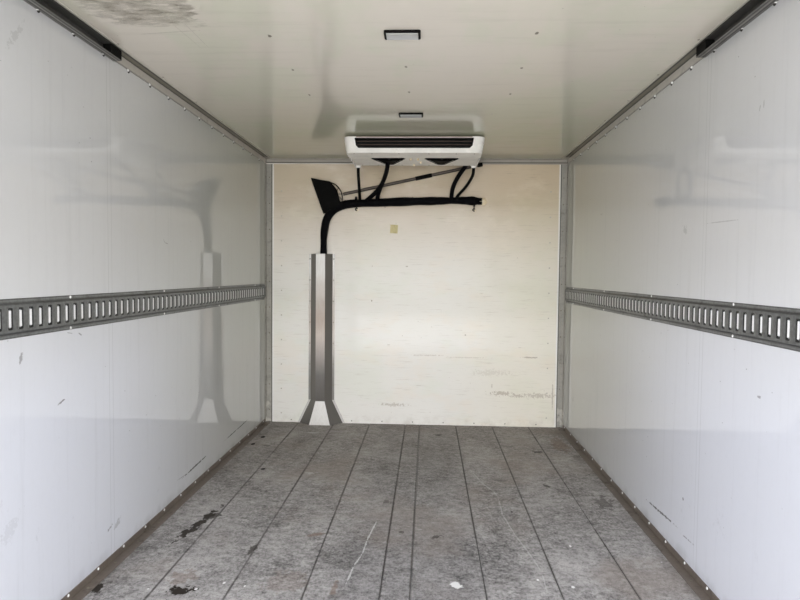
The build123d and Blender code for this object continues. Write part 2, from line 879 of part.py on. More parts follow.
def make_tracks():
    """Door tracks with one bend, and the rubber stops in their front ends."""
    points = track_section()
    y_bend = y_track + track_radius
    z_bend = z_track - track_radius
    level = outline([(x_track - out, z_track + across) for out, across in points])
    y1 = door_joints()[-1][0] + track_run_out
    track = along_y(level, y_bend, y1)
    upright = make_face(
        Polyline(*[(x_track - out, y_track - across, z_bend) for out, across in points], close=True)
    )
    z_foot = z_floor + kick_rise
    track += extrude(upright, z_bend - z_foot, dir=(0, 0, -1))
    track += revolve(upright, Axis((0, y_bend, z_bend), (1, 0, 0)), -90)
    save("door_tracks", *pair(track))
    h = track_height / 2 - track_sheet - panel_seam
    x_stop = x_track - track_sheet - panel_seam
    y0 = y1 - stop_length
    stop = block(x_stop, x_track - track_depth, y0, y1, z_track - h, z_track + h)
    save("door_stops", *pair(fillet(stop.edges().filter_by(Axis.X), stop_round)))


def make_door():
    """Door sections with hinges and a grip, rods with rollers, and the counterbalance shaft."""
    joints = door_joints()
    door_half = x_track - track_depth - door_side_gap
    setback = rod_diameter / 2 + rod_clearance
    sections = []
    leaves = []
    for i, ((y0, z0), (y1, z1)) in enumerate(zip(joints, joints[1:])):
        length = math.hypot(y1 - y0, z1 - z0)
        tilt = math.degrees(math.atan2(z1 - z0, y1 - y0))
        slab = Pos(0, length / 2, 0) * Box(2 * door_half, length - 2 * setback, door_thickness)
        slab = chamfer(slab.edges().filter_by(Axis.X), 2)
        seat = Pos(0, y0, z0) * Rot(tilt, 0, 0)
        sections.append(seat * slab)
        ends = [setback] if i else []
        if i < door_sections - 1:
            ends.append(length - setback - hinge_length)
        for y in ends:
            for x in hinge_places:
                leaf = block(
                    x - hinge_width / 2,
                    x + hinge_width / 2,
                    y,
                    y + hinge_length,
                    -door_thickness / 2 - hinge_sheet,
                    -door_thickness / 2,
                )
                leaves.append(seat * leaf)
        if i == 0:
            face = -door_thickness / 2
            grip = Pos(0, grip_place, face - grip_plate[2] / 2) * Box(*grip_plate)
            grip = fillet(grip.edges().filter_by(Axis.Z), grip_bar)
            posts = block(-grip_width / 2, grip_width / 2, -grip_bar / 2, grip_bar / 2, -grip_reach, 0)
            posts = fillet(posts.edges().filter_by(Axis.Y).group_by(Axis.Z)[0], grip_bar)
            x_hole = grip_width / 2 - grip_bar
            posts -= block(-x_hole, x_hole, -grip_bar, grip_bar, -grip_reach + grip_bar, 0)
            save("door_grip", seat * (grip + Pos(0, grip_place, face - grip_plate[2]) * posts))
    save("door_sections", *sections)
    save("door_hinges", *leaves)
    rods = []
    roller_radius = track_height / 2 - track_sheet - roller_clearance
    x_roller = x_track - track_sheet - door_side_gap - roller_width / 2
    for y, z in joints:
        rod = Rot(0, 90, 0) * Cylinder(rod_diameter / 2, 2 * x_roller)
        for s in (-1, 1):
            rod += Pos(s * x_roller, 0, 0) * Rot(0, 90, 0) * Cylinder(roller_radius, roller_width)
        rods.append(Pos(0, y, z) * rod)
    save("door_rollers", *rods)

    y_shaft = y_frame + shaft_offset
    z_shaft = z_roof - shaft_offset
    x_end = x_track - track_depth - 2 * door_side_gap
    shaft = Rot(0, 90, 0) * Cylinder(shaft_diameter / 2, 2 * x_end)
    for s in (-1, 1):
        shaft += Pos(s * (x_end - 2 * drum_width), 0, 0) * Rot(0, 90, 0) * Cylinder(
            drum_diameter / 2, drum_width
        )
        shaft += Pos(s * (x_end / 2), 0, 0) * Rot(0, 90, 0) * Cylinder(spring_diameter / 2, spring_length)
    save("door_shaft", Pos(0, y_shaft, z_shaft) * shaft)
    hangers = []
    for x in (-x_end + shaft_bracket, 0, x_end - shaft_bracket):
        plate = block(
            x - shaft_bracket / 2,
            x + shaft_bracket / 2,
            y_frame,
            y_shaft + shaft_diameter,
            z_shaft - shaft_diameter,
            z_roof,
        )
        bore = Cylinder(shaft_diameter / 2 + shaft_bore_clearance, 3 * shaft_bracket)
        hangers.append(plate - Pos(x, y_shaft, z_shaft) * Rot(0, 90, 0) * bore)
    save("shaft_brackets", *hangers)


def make_rear_frame():
    """Rear posts, header and sill, with rubber buffers and lamps."""
    x_in = half - post_reach
    z_low = z_slab - sill_drop
    z_head = z_floor + header_clear
    post = block(x_in, half_outer, y_back, y_frame, z_low, z_top)
    outer_edges = post.edges().filter_by(Axis.Z).group_by(Axis.X)[-1]
    save("rear_posts", *pair(fillet(outer_edges, frame_radius)))
    header = block(-x_in, x_in, y_back, y_frame, z_head, z_top)
    save("rear_header", fillet(header.edges().filter_by(Axis.X).group_by(Axis.Y)[0], frame_radius))
    sill = block(-x_in, x_in, y_back, y_frame, z_low, z_floor)
    save("rear_sill", fillet(sill.edges().filter_by(Axis.X).group_by(Axis.Y)[0], frame_radius))
    x_buffer = half_outer - buffer_inset
    y_rear = y_back - buffer_depth
    z_pad = z_floor - buffer_drop
    pad = block(x_buffer - buffer_width, x_buffer, y_rear, y_back, z_low, z_pad)
    save("buffers", *pair(fillet(pad.edges().filter_by(Axis.X).group_by(Axis.Y)[0], buffer_round)))
    lamps = []
    y0 = y_frame + lamp_end_gap
    y1 = y_nose - lamp_end_gap
    z = z_slab + profile_drop / 2
    for i in range(side_lamp_count):
        y = y0 + (y1 - y0) * i / (side_lamp_count - 1)
        lamp = block(
            half_outer,
            half_outer + lamp_depth,
            y - lamp_length / 2,
            y + lamp_length / 2,
            z - lamp_height / 2,
            z + lamp_height / 2,
        )
        lamps += pair(fillet(lamp.edges().filter_by(Axis.X), lamp_round))
    save("side_lamps", *lamps)
    z = z_top - rear_lamp_drop
    lamp = block(
        rear_lamp_offset,
        rear_lamp_offset + lamp_length,
        y_back - lamp_depth,
        y_back,
        z - lamp_height / 2,
        z + lamp_height / 2,
    )
    save("rear_lamps", *pair(fillet(lamp.edges().filter_by(Axis.Y), lamp_round)))


def make_underframe():
    """Cross members on two long runners, with bolt-down brackets."""
    x_web = runner_spacing / 2
    y1 = y_nose - runner_nose_gap
    t = runner_sheet
    runner = block(x_web - t / 2, x_web + t / 2, y_frame, y1, 0, runner_height)
    runner += block(x_web - t / 2, x_web - runner_flange, y_frame, y1, 0, t)
    runner += block(x_web - t / 2, x_web - runner_flange, y_frame, y1, runner_height - t, runner_height)
    save("long_runners", *pair(runner))
    members = []
    c = cross_sheet
    first = y_frame + cross_inset
    last = y_nose - cross_inset - cross_flange - profile_sheet
    for i in range(cross_count):
        y = first + (last - first) * i / (cross_count - 1)
        x = half_panel
        member = block(-x, x, y, y + c, runner_height, z_slab)
        member += block(-x, x, y + c, y + cross_flange, runner_height, runner_height + c)
        member += block(-x, x, y + c, y + cross_flange, z_slab - c, z_slab)
        members.append(member)
    save("cross_members", *members)
    brackets = []
    x0 = x_web + t / 2
    b = bracket_sheet
    for i in range(bracket_count):
        y = y_frame + bracket_end_gap + (y1 - y_frame - 2 * bracket_end_gap) * i / (bracket_count - 1)
        ya = y - bracket_length / 2
        yb = y + bracket_length / 2
        bracket = block(x0, x0 + bracket_leg, ya, yb, 0, b)
        bracket += block(x0, x0 + b, ya, yb, b, bracket_rise)
        for s in (-1, 1):
            bracket -= Pos(x0 + bracket_leg * bracket_hole_place, y + s * bolt_pitch / 2, b / 2) * Cylinder(
                bolt_diameter / 2, 3 * b
            )
        brackets += pair(bracket)
    save("mount_brackets", *brackets)


make_panels()
make_floor_boards()
make_edge_profiles()
make_inner_trims()
make_load_rails()
make_roof_lights()
make_evaporator()
make_fans()
make_pipework()
make_slim_tube()
make_duct()
make_tracks()
make_door()
make_rear_frame()
make_underframe()
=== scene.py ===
"""Dresses the insulated load body of a refrigerated truck around its packed frame.

Lengths are in metres in the frame of the packed model: X right, Y forward to the
bulkhead, Z up. The camera stands in the rear opening and looks at the bulkhead.
"""

from __future__ import annotations

import json
import logging
import math
import random
from dataclasses import dataclass, field
from enum import Enum
from typing import Any, Callable, Iterator, Mapping, Sequence, Union

import bmesh
import bpy
from mathutils import Matrix, Vector

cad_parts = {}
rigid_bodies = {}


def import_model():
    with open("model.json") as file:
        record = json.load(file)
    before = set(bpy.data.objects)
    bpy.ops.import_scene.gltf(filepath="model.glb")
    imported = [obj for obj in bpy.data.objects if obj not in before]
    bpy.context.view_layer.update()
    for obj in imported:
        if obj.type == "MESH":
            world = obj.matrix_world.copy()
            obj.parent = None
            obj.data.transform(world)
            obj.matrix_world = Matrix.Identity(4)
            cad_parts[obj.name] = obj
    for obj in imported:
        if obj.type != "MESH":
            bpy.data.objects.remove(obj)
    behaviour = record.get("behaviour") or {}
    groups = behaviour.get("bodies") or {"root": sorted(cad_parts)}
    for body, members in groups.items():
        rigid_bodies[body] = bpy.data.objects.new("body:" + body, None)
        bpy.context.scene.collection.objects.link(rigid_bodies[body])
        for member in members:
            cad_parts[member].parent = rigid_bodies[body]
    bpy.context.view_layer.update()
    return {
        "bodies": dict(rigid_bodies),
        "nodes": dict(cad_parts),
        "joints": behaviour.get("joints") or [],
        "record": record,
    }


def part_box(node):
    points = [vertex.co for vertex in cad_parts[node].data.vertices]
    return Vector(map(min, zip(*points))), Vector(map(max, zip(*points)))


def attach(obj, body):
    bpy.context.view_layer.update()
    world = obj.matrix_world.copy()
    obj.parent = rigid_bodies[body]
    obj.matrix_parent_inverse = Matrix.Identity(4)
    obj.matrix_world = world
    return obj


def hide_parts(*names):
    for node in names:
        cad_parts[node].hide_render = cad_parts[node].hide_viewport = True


LOG = logging.getLogger("load_body")
Colour = tuple[float, float, float]
Point = tuple[float, float, float]
Outline = Sequence[tuple[float, float]]
Radius = Callable[[float], float]
Placer = Callable[[float, float, float], Vector]
FLOOR = 0.310
ROOF = 2.460
LINING = 2.626
WALL = 1.210
AXIS_X, AXIS_Y, AXIS_Z = 0, 1, 2
UP, DOWN, BACK = (0, 0, 1), (0, 0, -1), (0, -1, 0)


class Body(str, Enum):
    """The bodies of the packed model."""

    BOX = "box"
    FAN_LEFT = "fan_left"
    FAN_RIGHT = "fan_right"


class Hand(Enum):
    """The two sides of the load space, as the sign of X."""

    LEFT = -1
    RIGHT = 1


class Mode(str, Enum):
    """Ways to lay one colour over another."""

    MIX = "MIX"
    MULTIPLY = "MULTIPLY"


# --- Shader graph ---


@dataclass(frozen=True)
class Mark:
    """A stain, chip or scratch at its own place, as a turned ellipsoid with a ragged edge."""

    place: Point
    size: Point
    turn: Point = (0.0, 0.0, 0.0)
    share: float = 1.0
    ragged: float = 0.8


@dataclass(frozen=True)
class Side:
    """A flat inner side of the load space, whose marks need only two coordinates.

    Attributes:
        axis: The axis that the side is square to.
        level: Its place on that axis.
        depth: Half size of every mark along that axis.
        overlap: Half length of a stroke's mark, as a share of its run.
        usual: The usual turn, share and raggedness.
    """

    axis: int
    level: float
    depth: float = 0.05
    overlap: float = 0.58
    usual: Point = (0.0, 1.0, 0.8)

    def _point(self, first: float, second: float, own: float) -> Point:
        """Puts the value for the side's own axis between the other two.

        Args:
            first: The value for the first other axis.
            second: The value for the second one.
            own: The value for the side's own axis.

        Returns:
            The three values in order.
        """
        row = [first, second]
        row.insert(self.axis, own)
        return tuple(row)

    def marks(self, *rows: Sequence[float]) -> tuple[Mark, ...]:
        """Marks from a table.

        Args:
            *rows: Two coordinates and two half sizes, then, where they aren't the usual
                ones, the turn, the share and the raggedness.

        Returns:
            One mark for each row.
        """
        made = []
        for first, second, wide, tall, *rest in rows:
            turn, share, ragged = (*rest, *self.usual[len(rest) :])
            place = self._point(first, second, self.level)
            size = self._point(wide, tall, self.depth)
            made.append(Mark(place, size, self._point(0.0, 0.0, turn), share, ragged))
        return tuple(made)

    def strokes(
        self, line: Outline, width: float, share: float, ragged: float = 0.8
    ) -> tuple[Mark, ...]:
        """Marks that follow a line.

        Args:
            line: The line's points on the side.
            width: Half of its width.
            share: How strong it is.
            ragged: How uneven its edge is.

        Returns:
            One mark for each run of the line.
        """
        rows = []
        for (a0, b0), (a1, b1) in zip(line, line[1:]):
            da, db = a1 - a0, b1 - b0
            reach = math.hypot(da, db) * self.overlap
            size = (reach, width, math.atan2(db, da))
            if self.axis == AXIS_Z:
                size = (width, reach, math.atan2(-da, db))
            rows.append(((a0 + a1) / 2, (b0 + b1) / 2, *size, share, ragged))
        return self.marks(*rows)


LEFT_WALL, RIGHT_WALL = Side(AXIS_X, -WALL), Side(AXIS_X, WALL)
BULKHEAD = Side(AXIS_Y, LINING)
GROUND, CEILING = Side(AXIS_Z, FLOOR), Side(AXIS_Z, ROOF)


def operator(operation: str, meaning: str, reflected: bool = False) -> Callable[..., "Shade"]:
    """Makes an operator method that adds one Math node.

    Args:
        operation: The Math node's operation.
        meaning: The method's docstring.
        reflected: Whether the socket is the second operand.

    Returns:
        The method.
    """

    def method(self: "Shade", *others: "Value") -> "Shade":
        """Adds the node; the text below takes this one's place."""
        return self.maths(operation, *((*others, self) if reflected else (self, *others)))

    method.__doc__ = meaning
    return method


class Shade:
    """A shader socket that takes part in Python expressions."""

    __add__ = operator("ADD", "Sum.")
    __radd__ = operator("ADD", "Reflected sum.", True)
    __sub__ = operator("SUBTRACT", "Difference.")
    __rsub__ = operator("SUBTRACT", "Reflected difference.", True)
    __mul__ = operator("MULTIPLY", "Product.")
    __rmul__ = operator("MULTIPLY", "Reflected product.", True)
    __truediv__ = operator("DIVIDE", "Quotient.")
    __rtruediv__ = operator("DIVIDE", "Reflected quotient.", True)
    __abs__ = operator("ABSOLUTE", "Size without sign.")
    __gt__ = operator("GREATER_THAN", "One where this is above the other, else zero.")
    __lt__ = operator("LESS_THAN", "One where this is under the other, else zero.")
    __or__ = operator("MAXIMUM", "The larger of two.")
    __and__ = operator("MINIMUM", "The smaller of two.")

    def __init__(self, graph: "Graph", socket: bpy.types.NodeSocket) -> None:
        """Wraps a socket of a graph."""
        self.graph = graph
        self.socket = socket

    def maths(self, operation: str, *values: "Value") -> "Shade":
        """Adds one Math node."""
        return self.graph.node("ShaderNodeMath", {"operation": operation}, dict(enumerate(values)))

    def rise(self, low: float, high: float) -> "Shade":
        """Goes smoothly from 0 at low to 1 at high; low may be above high.

        Args:
            low: The value that gives 0.
            high: The value that gives 1.

        Returns:
            The smooth step.
        """
        settings = {"interpolation_type": "SMOOTHSTEP"}
        if low < high:
            return self.graph.node("ShaderNodeMapRange", settings, {0: self, 1: low, 2: high})
        values = {0: self, 1: high, 2: low, 3: 1.0, 4: 0.0}
        return self.graph.node("ShaderNodeMapRange", settings, values)

    def near(self, centre: float, width: float, soft: float) -> "Shade":
        """One within half a width of a centre, with soft edges."""
        return abs(self - centre).rise(width / 2 + soft, width / 2)

    def repeat(self, pitch: float, start: float = 0.0) -> "Shade":
        """Distance from the nearest line of an evenly spaced set."""
        return self.maths("PINGPONG", self - start, pitch / 2)


Value = Union[Shade, float, Sequence[float]]


class Graph:
    """A node tree, built from expressions."""

    def __init__(self, owner: bpy.types.Material | bpy.types.World) -> None:
        """Empties the owner's node tree.

        Args:
            owner: The material or world.
        """
        owner.use_nodes = True
        self.tree = owner.node_tree
        self.tree.nodes.clear()

    def node(
        self,
        kind: str,
        settings: Mapping[str, Any] | None = None,
        values: Mapping[Any, Value] | None = None,
        output: Any = 0,
    ) -> Shade:
        """Adds a node, sets it up and links its inputs.

        Args:
            kind: The node's type.
            settings: The node's own settings, with a ramp's stops under "stops".
            values: Socket name or number to a value or a link.
            output: The name or number of the socket wanted.

        Returns:
            The wanted output.
        """
        made = self.tree.nodes.new(kind)
        for key, value in (settings or {}).items():
            if key == "stops":
                self._stops(made.color_ramp, value)
            else:
                setattr(made, key, value)
        for key, value in (values or {}).items():
            self.feed(made.inputs[key], value)
        return Shade(self, made.outputs[output])

    def _stops(self, ramp: bpy.types.ColorRamp, stops: Sequence[tuple[float, Colour]]) -> None:
        """Gives a colour ramp its stops.

        Args:
            ramp: The ramp.
            stops: Place and colour of each stop.
        """
        while len(ramp.elements) < len(stops):
            ramp.elements.new(0.5)
        for element, (place, colour) in zip(ramp.elements, stops):
            element.position = place
            element.color = (*colour, 1.0)

    def feed(self, socket: bpy.types.NodeSocket, value: Value) -> None:
        """Links a socket, or sets its own value.

        Args:
            socket: The input socket.
            value: A link, a number, or a colour or vector.
        """
        if isinstance(value, Shade):
            self.tree.links.new(value.socket, socket)
        elif isinstance(value, (int, float)):
            socket.default_value = value
        elif len(value) == 3 and socket.type == "RGBA":
            socket.default_value = (*value, 1.0)
        else:
            socket.default_value = tuple(value)


class Surface(Graph):
    """A material with one Principled shader."""

    def __init__(self, name: str) -> None:
        """Starts the material with its shader and output.

        Args:
            name: The material's name.
        """
        self.material = bpy.data.materials.new(name)
        super().__init__(self.material)
        self.shader = self.tree.nodes.new("ShaderNodeBsdfPrincipled")
        output = self.tree.nodes.new("ShaderNodeOutputMaterial")
        self.tree.links.new(self.shader.outputs[0], output.inputs[0])

    def set(self, **values: Value) -> None:
        """Feeds the Principled shader's sockets, named with underscores."""
        for key, value in values.items():
            self.feed(self.shader.inputs[key.replace("_", " ")], value)

    def place(self) -> Shade:
        """The point in the frame, in metres."""
        return self.node("ShaderNodeTexCoord", output="Object")

    def along(self, axis: int) -> Shade:
        """One coordinate of the point."""
        return self.node("ShaderNodeSeparateXYZ", values={0: self.place()}, output=axis)

    def lean(self, axis: int) -> Shade:
        """How far the surface faces along an axis."""
        normal = self.node("ShaderNodeTexCoord", output="Normal")
        return abs(self.node("ShaderNodeSeparateXYZ", values={0: normal}, output=axis))

    def stretched(self, scale: Point) -> Shade:
        """The point with each axis scaled.

        Args:
            scale: How much each axis grows; large values give fine grain along it.

        Returns:
            The changed point.
        """
        return self.node(
            "ShaderNodeVectorMath", {"operation": "MULTIPLY"}, {0: self.place(), 1: scale}
        )

    def noise(
        self, scale: float, stretch: Point = (1.0, 1.0, 1.0), detail: float = 4.0,
        rough: float = 0.55
    ) -> Shade:
        """Fractal noise around a half.

        Args:
            scale: Grains per metre.
            stretch: Scale of each axis before the noise.
            detail: Number of octaves.
            rough: Share of the finer octaves.

        Returns:
            The noise value.
        """
        values = {
            "Vector": self.stretched(stretch), "Scale": scale, "Detail": detail, "Roughness": rough
        }
        return self.node("ShaderNodeTexNoise", values=values)

    def cells(self, scale: float, stretch: Point = (1.0, 1.0, 1.0), jitter: float = 1.0) -> Shade:
        """Distance to the nearest of scattered points."""
        values = {"Vector": self.stretched(stretch), "Scale": scale, "Randomness": jitter}
        return self.node("ShaderNodeTexVoronoi", values=values, output="Distance")

    def spots(self, marks: Sequence[Mark], grain: Shade) -> Shade:
        """The mask of a set of marks.

        Args:
            marks: The marks.
            grain: Noise around a half that frays their edges.

        Returns:
            The mask.
        """
        total = None
        for mark in marks:
            values = {
                "Vector": self.place(), "Location": mark.place, "Rotation": mark.turn,
                "Scale": mark.size,
            }
            local = self.node("ShaderNodeMapping", {"vector_type": "TEXTURE"}, values)
            far = self.node(
                "ShaderNodeVectorMath", {"operation": "LENGTH"}, {0: local}, output="Value"
            )
            mask = (far + (grain - 0.5) * (mark.ragged * 3.0)).rise(1.12, 0.80) * mark.share
            total = mask if total is None else total | mask
        return total

    def lay(self, share: Value, under: Value, over: Value, mode: Mode = Mode.MIX) -> Shade:
        """Lays one colour over another."""
        settings = {"data_type": "RGBA", "blend_type": mode.value, "clamp_factor": True}
        return self.node("ShaderNodeMix", settings, {0: share, 6: under, 7: over}, output=2)

    def filter(self, share: Value, under: Value, glass: Colour) -> Shade:
        """Multiplies a colour by another."""
        return self.lay(share, under, glass, Mode.MULTIPLY)

    def ramp(self, value: Value, *stops: tuple[float, Colour]) -> Shade:
        """Turns a value into a colour."""
        return self.node("ShaderNodeValToRGB", {"stops": stops}, {0: value})

    def bump(self, height: Value, distance: float, strength: float = 1.0) -> Shade:
        """A normal from a height."""
        values = {"Height": height, "Distance": distance, "Strength": strength}
        return self.node("ShaderNodeBump", values=values, output="Normal")


# --- Finishes ---


def toned(colour: Colour, share: float) -> Colour:
    """A colour made darker or lighter."""
    return tuple(min(1.0, c * share) for c in colour)


def tinted(colour: Colour, shares: Colour) -> Colour:
    """A colour with each channel scaled."""
    return tuple(c * k for c, k in zip(colour, shares))


@dataclass(frozen=True)
class Finish:
    """A surface finish: constant values, with the variation added by a subclass."""

    name: str
    colour: Colour
    roughness: float = 0.5
    metallic: float = 0.0
    slot: str = "panel_white"

    def paint(self, g: Surface) -> None:
        """Feeds the shader; a plain finish gets faint mottling.

        Args:
            g: The material's graph.
        """
        mottle = g.noise(9.0, detail=6.0)
        grime = g.noise(24.0, detail=7.0, rough=0.7).rise(0.56, 0.78) * 0.22
        base = g.ramp(mottle, (0.35, toned(self.colour, 0.88)), (0.65, self.colour))
        g.set(Base_Color=g.lay(grime, base, toned(self.colour, 0.45)))
        g.set(Roughness=self.roughness + (mottle - 0.5) * 0.2 + grime * 0.4, Metallic=self.metallic)
        g.set(Normal=g.bump(g.noise(300.0, detail=2.0), 0.0001, 0.5))

    def material(self) -> bpy.types.Material:
        """The material, made once.

        Returns:
            The material for this finish.
        """
        known = bpy.data.materials.get(self.name)
        if known:
            return known
        g = Surface(self.name)
        self.paint(g)
        return g.material


@dataclass(frozen=True)
class TwoSidedFinish(Finish):
    """Panel whose inner side is marked while its outer side stays plain."""

    dirt: Colour = (0.075, 0.070, 0.062)
    outer: Colour = (0.62, 0.63, 0.63)

    def sided(self, g: Surface, inside: Shade, haze: Shade, base: Shade, marks: Shade) -> Shade:
        """Sets the base colour of both sides.

        Args:
            g: The material's graph.
            inside: One on the inner side.
            haze: Soft noise around a half.
            base: The inner side's colour.
            marks: The inner side's marks.

        Returns:
            The marks, kept to the inner side.
        """
        marks = marks * inside
        plain = g.ramp(haze, (0.3, toned(self.outer, 0.93)), (0.7, self.outer))
        g.set(Base_Color=g.lay(marks, g.lay(inside, plain, base), self.dirt))
        return marks


@dataclass(frozen=True)
class PanelFinish(TwoSidedFinish):
    """Glossy glass-fibre wall panel with scuffs, specks, low dirt and a joint strip."""

    seam: float = 0.146
    # Colour of the painted bluish skylight low down near the opening.
    painted_skylight: Colour = (0.775, 0.80, 0.875)
    scuffs: Sequence[Mark] = (
        LEFT_WALL.marks(
            (-0.425, 1.254, 0.007, 0.024, -0.3, 0.5), (-0.207, 1.064, 0.022, 0.004, 0.3, 0.65),
            (-0.148, 1.309, 0.018, 0.002, -0.2, 0.45), (-0.082, 1.299, 0.012, 0.003, -0.5, 0.5),
            (0.19, 0.459, 0.03, 0.01, 0.5, 0.28, 1.6), (0.123, 0.461, 0.022, 0.005, 0.3, 0.45, 1.6),
            (-0.49, 0.712, 0.045, 0.02, 0.6, 0.1, 2.0), (-0.428, 2.288, 0.05, 0.01, 0.9, 0.16, 1.6),
        )
        + LEFT_WALL.strokes(((0.829, 0.427), (0.967, 0.42)), 0.002, 0.45)
        + LEFT_WALL.strokes(((0.96, 0.42), (1.196, 0.43)), 0.0045, 0.85, 1.6)
        + LEFT_WALL.strokes(((1.614, 0.434), (1.84, 0.44), (2.063, 0.446)), 0.0035, 0.75, 1.4)
        + LEFT_WALL.strokes(((0.667, 1.7), (0.684, 1.685), (0.715, 1.681)), 0.0022, 0.4)
        + RIGHT_WALL.marks(
            (-0.262, 2.106, 0.0025, 0.014, 0.0, 0.45), (-0.238, 2.103, 0.0025, 0.012, 0.3, 0.45),
            (0.337, 1.74, 0.02, 0.014, 0.4, 0.22, 1.6), (0.275, 0.593, 0.006, 0.006, 0.0, 0.8),
            (-0.295, 1.145, 0.01, 0.006, 0.0, 0.5), (1.628, 1.93, 0.016, 0.008, 0.0, 0.2, 1.6),
        )
        + RIGHT_WALL.strokes(((0.11, 1.75), (-0.105, 1.744)), 0.0022, 0.28)
        + RIGHT_WALL.strokes(((0.64, 0.434), (0.4, 0.446)), 0.0045, 0.8, 1.8)
        + RIGHT_WALL.strokes(((0.255, 0.44), (0.18, 0.444)), 0.003, 0.5, 1.8)
    )

    def paint(self, g: Surface) -> None:
        """Feeds the shader.

        Args:
            g: The material's graph.
        """
        y, z = g.along(AXIS_Y), g.along(AXIS_Z)
        haze = g.noise(1.7, (0.4, 0.4, 1.3), detail=5.0)
        base = g.ramp(haze, (0.3, toned(self.colour, 0.95)), (0.7, self.colour))
        # Painted shade: darker and yellower towards the bulkhead.
        base = g.lay(y.rise(-0.4, 2.6), base, tinted(self.colour, (0.80, 0.81, 0.73)))
        # Painted light: the low far part keeps more of the plain colour.
        base = g.lay(z.rise(1.35, 0.60) * y.rise(0.2, 2.0) * 0.55, base, self.colour)
        # Painted light: a bluish pool of skylight low down near the opening.
        base = g.lay(z.rise(1.62, 0.98) * y.rise(1.9, -0.5), base, self.painted_skylight)
        # Painted shade: the right wall darker low down near the opening.
        near = g.along(AXIS_X).rise(0.0, 1.0) * z.rise(1.40, 0.90) * y.rise(0.6, -0.6)
        base = g.filter(near, base, (0.94, 0.94, 0.93))
        grain = g.noise(70.0, detail=5.0, rough=0.65)
        mottle = (g.noise(38.0, (1.0, 1.0, 0.6), detail=6.0, rough=0.7) - 0.5) * 0.08
        runs = (
            g.noise(9.0, (1.0, 3.0, 0.10), detail=6.0, rough=0.65).rise(0.50, 0.85) * 0.10 + mottle
        )
        patch = g.noise(1.3, detail=2.0).rise(0.44, 0.60) * z.rise(1.30, 0.70)
        smears = g.noise(7.0, (1.0, 1.3, 1.0), detail=9.0, rough=0.74).rise(0.60, 0.72) * patch
        flecks = (
            g.cells(15.0, (1.0, 1.0, 1.5)).rise(0.070, 0.025)
            * g.noise(3.0, detail=2.0).rise(0.46, 0.60)
        )
        low = z.rise(FLOOR + 0.15, FLOOR + 0.03) * g.noise(9.0, (1.0, 1.0, 0.6), detail=7.0)
        lines = abs(y - self.seam).near(0.014, 0.0010, 0.0020)
        marks = runs | smears * 0.26 | flecks * 0.55 | low.rise(0.30, 0.75) * 0.25
        marks = (marks | lines * 0.20 | g.spots(self.scuffs, grain)) & 1.0
        inside = abs(g.along(AXIS_X)).rise(WALL + 0.030, WALL + 0.012)
        marks = self.sided(g, inside, haze, base, marks)
        g.set(Roughness=0.003 + haze * 0.006 + marks * 0.05)
        wave = abs(y - self.seam).rise(0.018, 0.012) * -0.20
        g.set(Normal=g.bump(wave, 0.0014, 0.4), IOR=1.56)


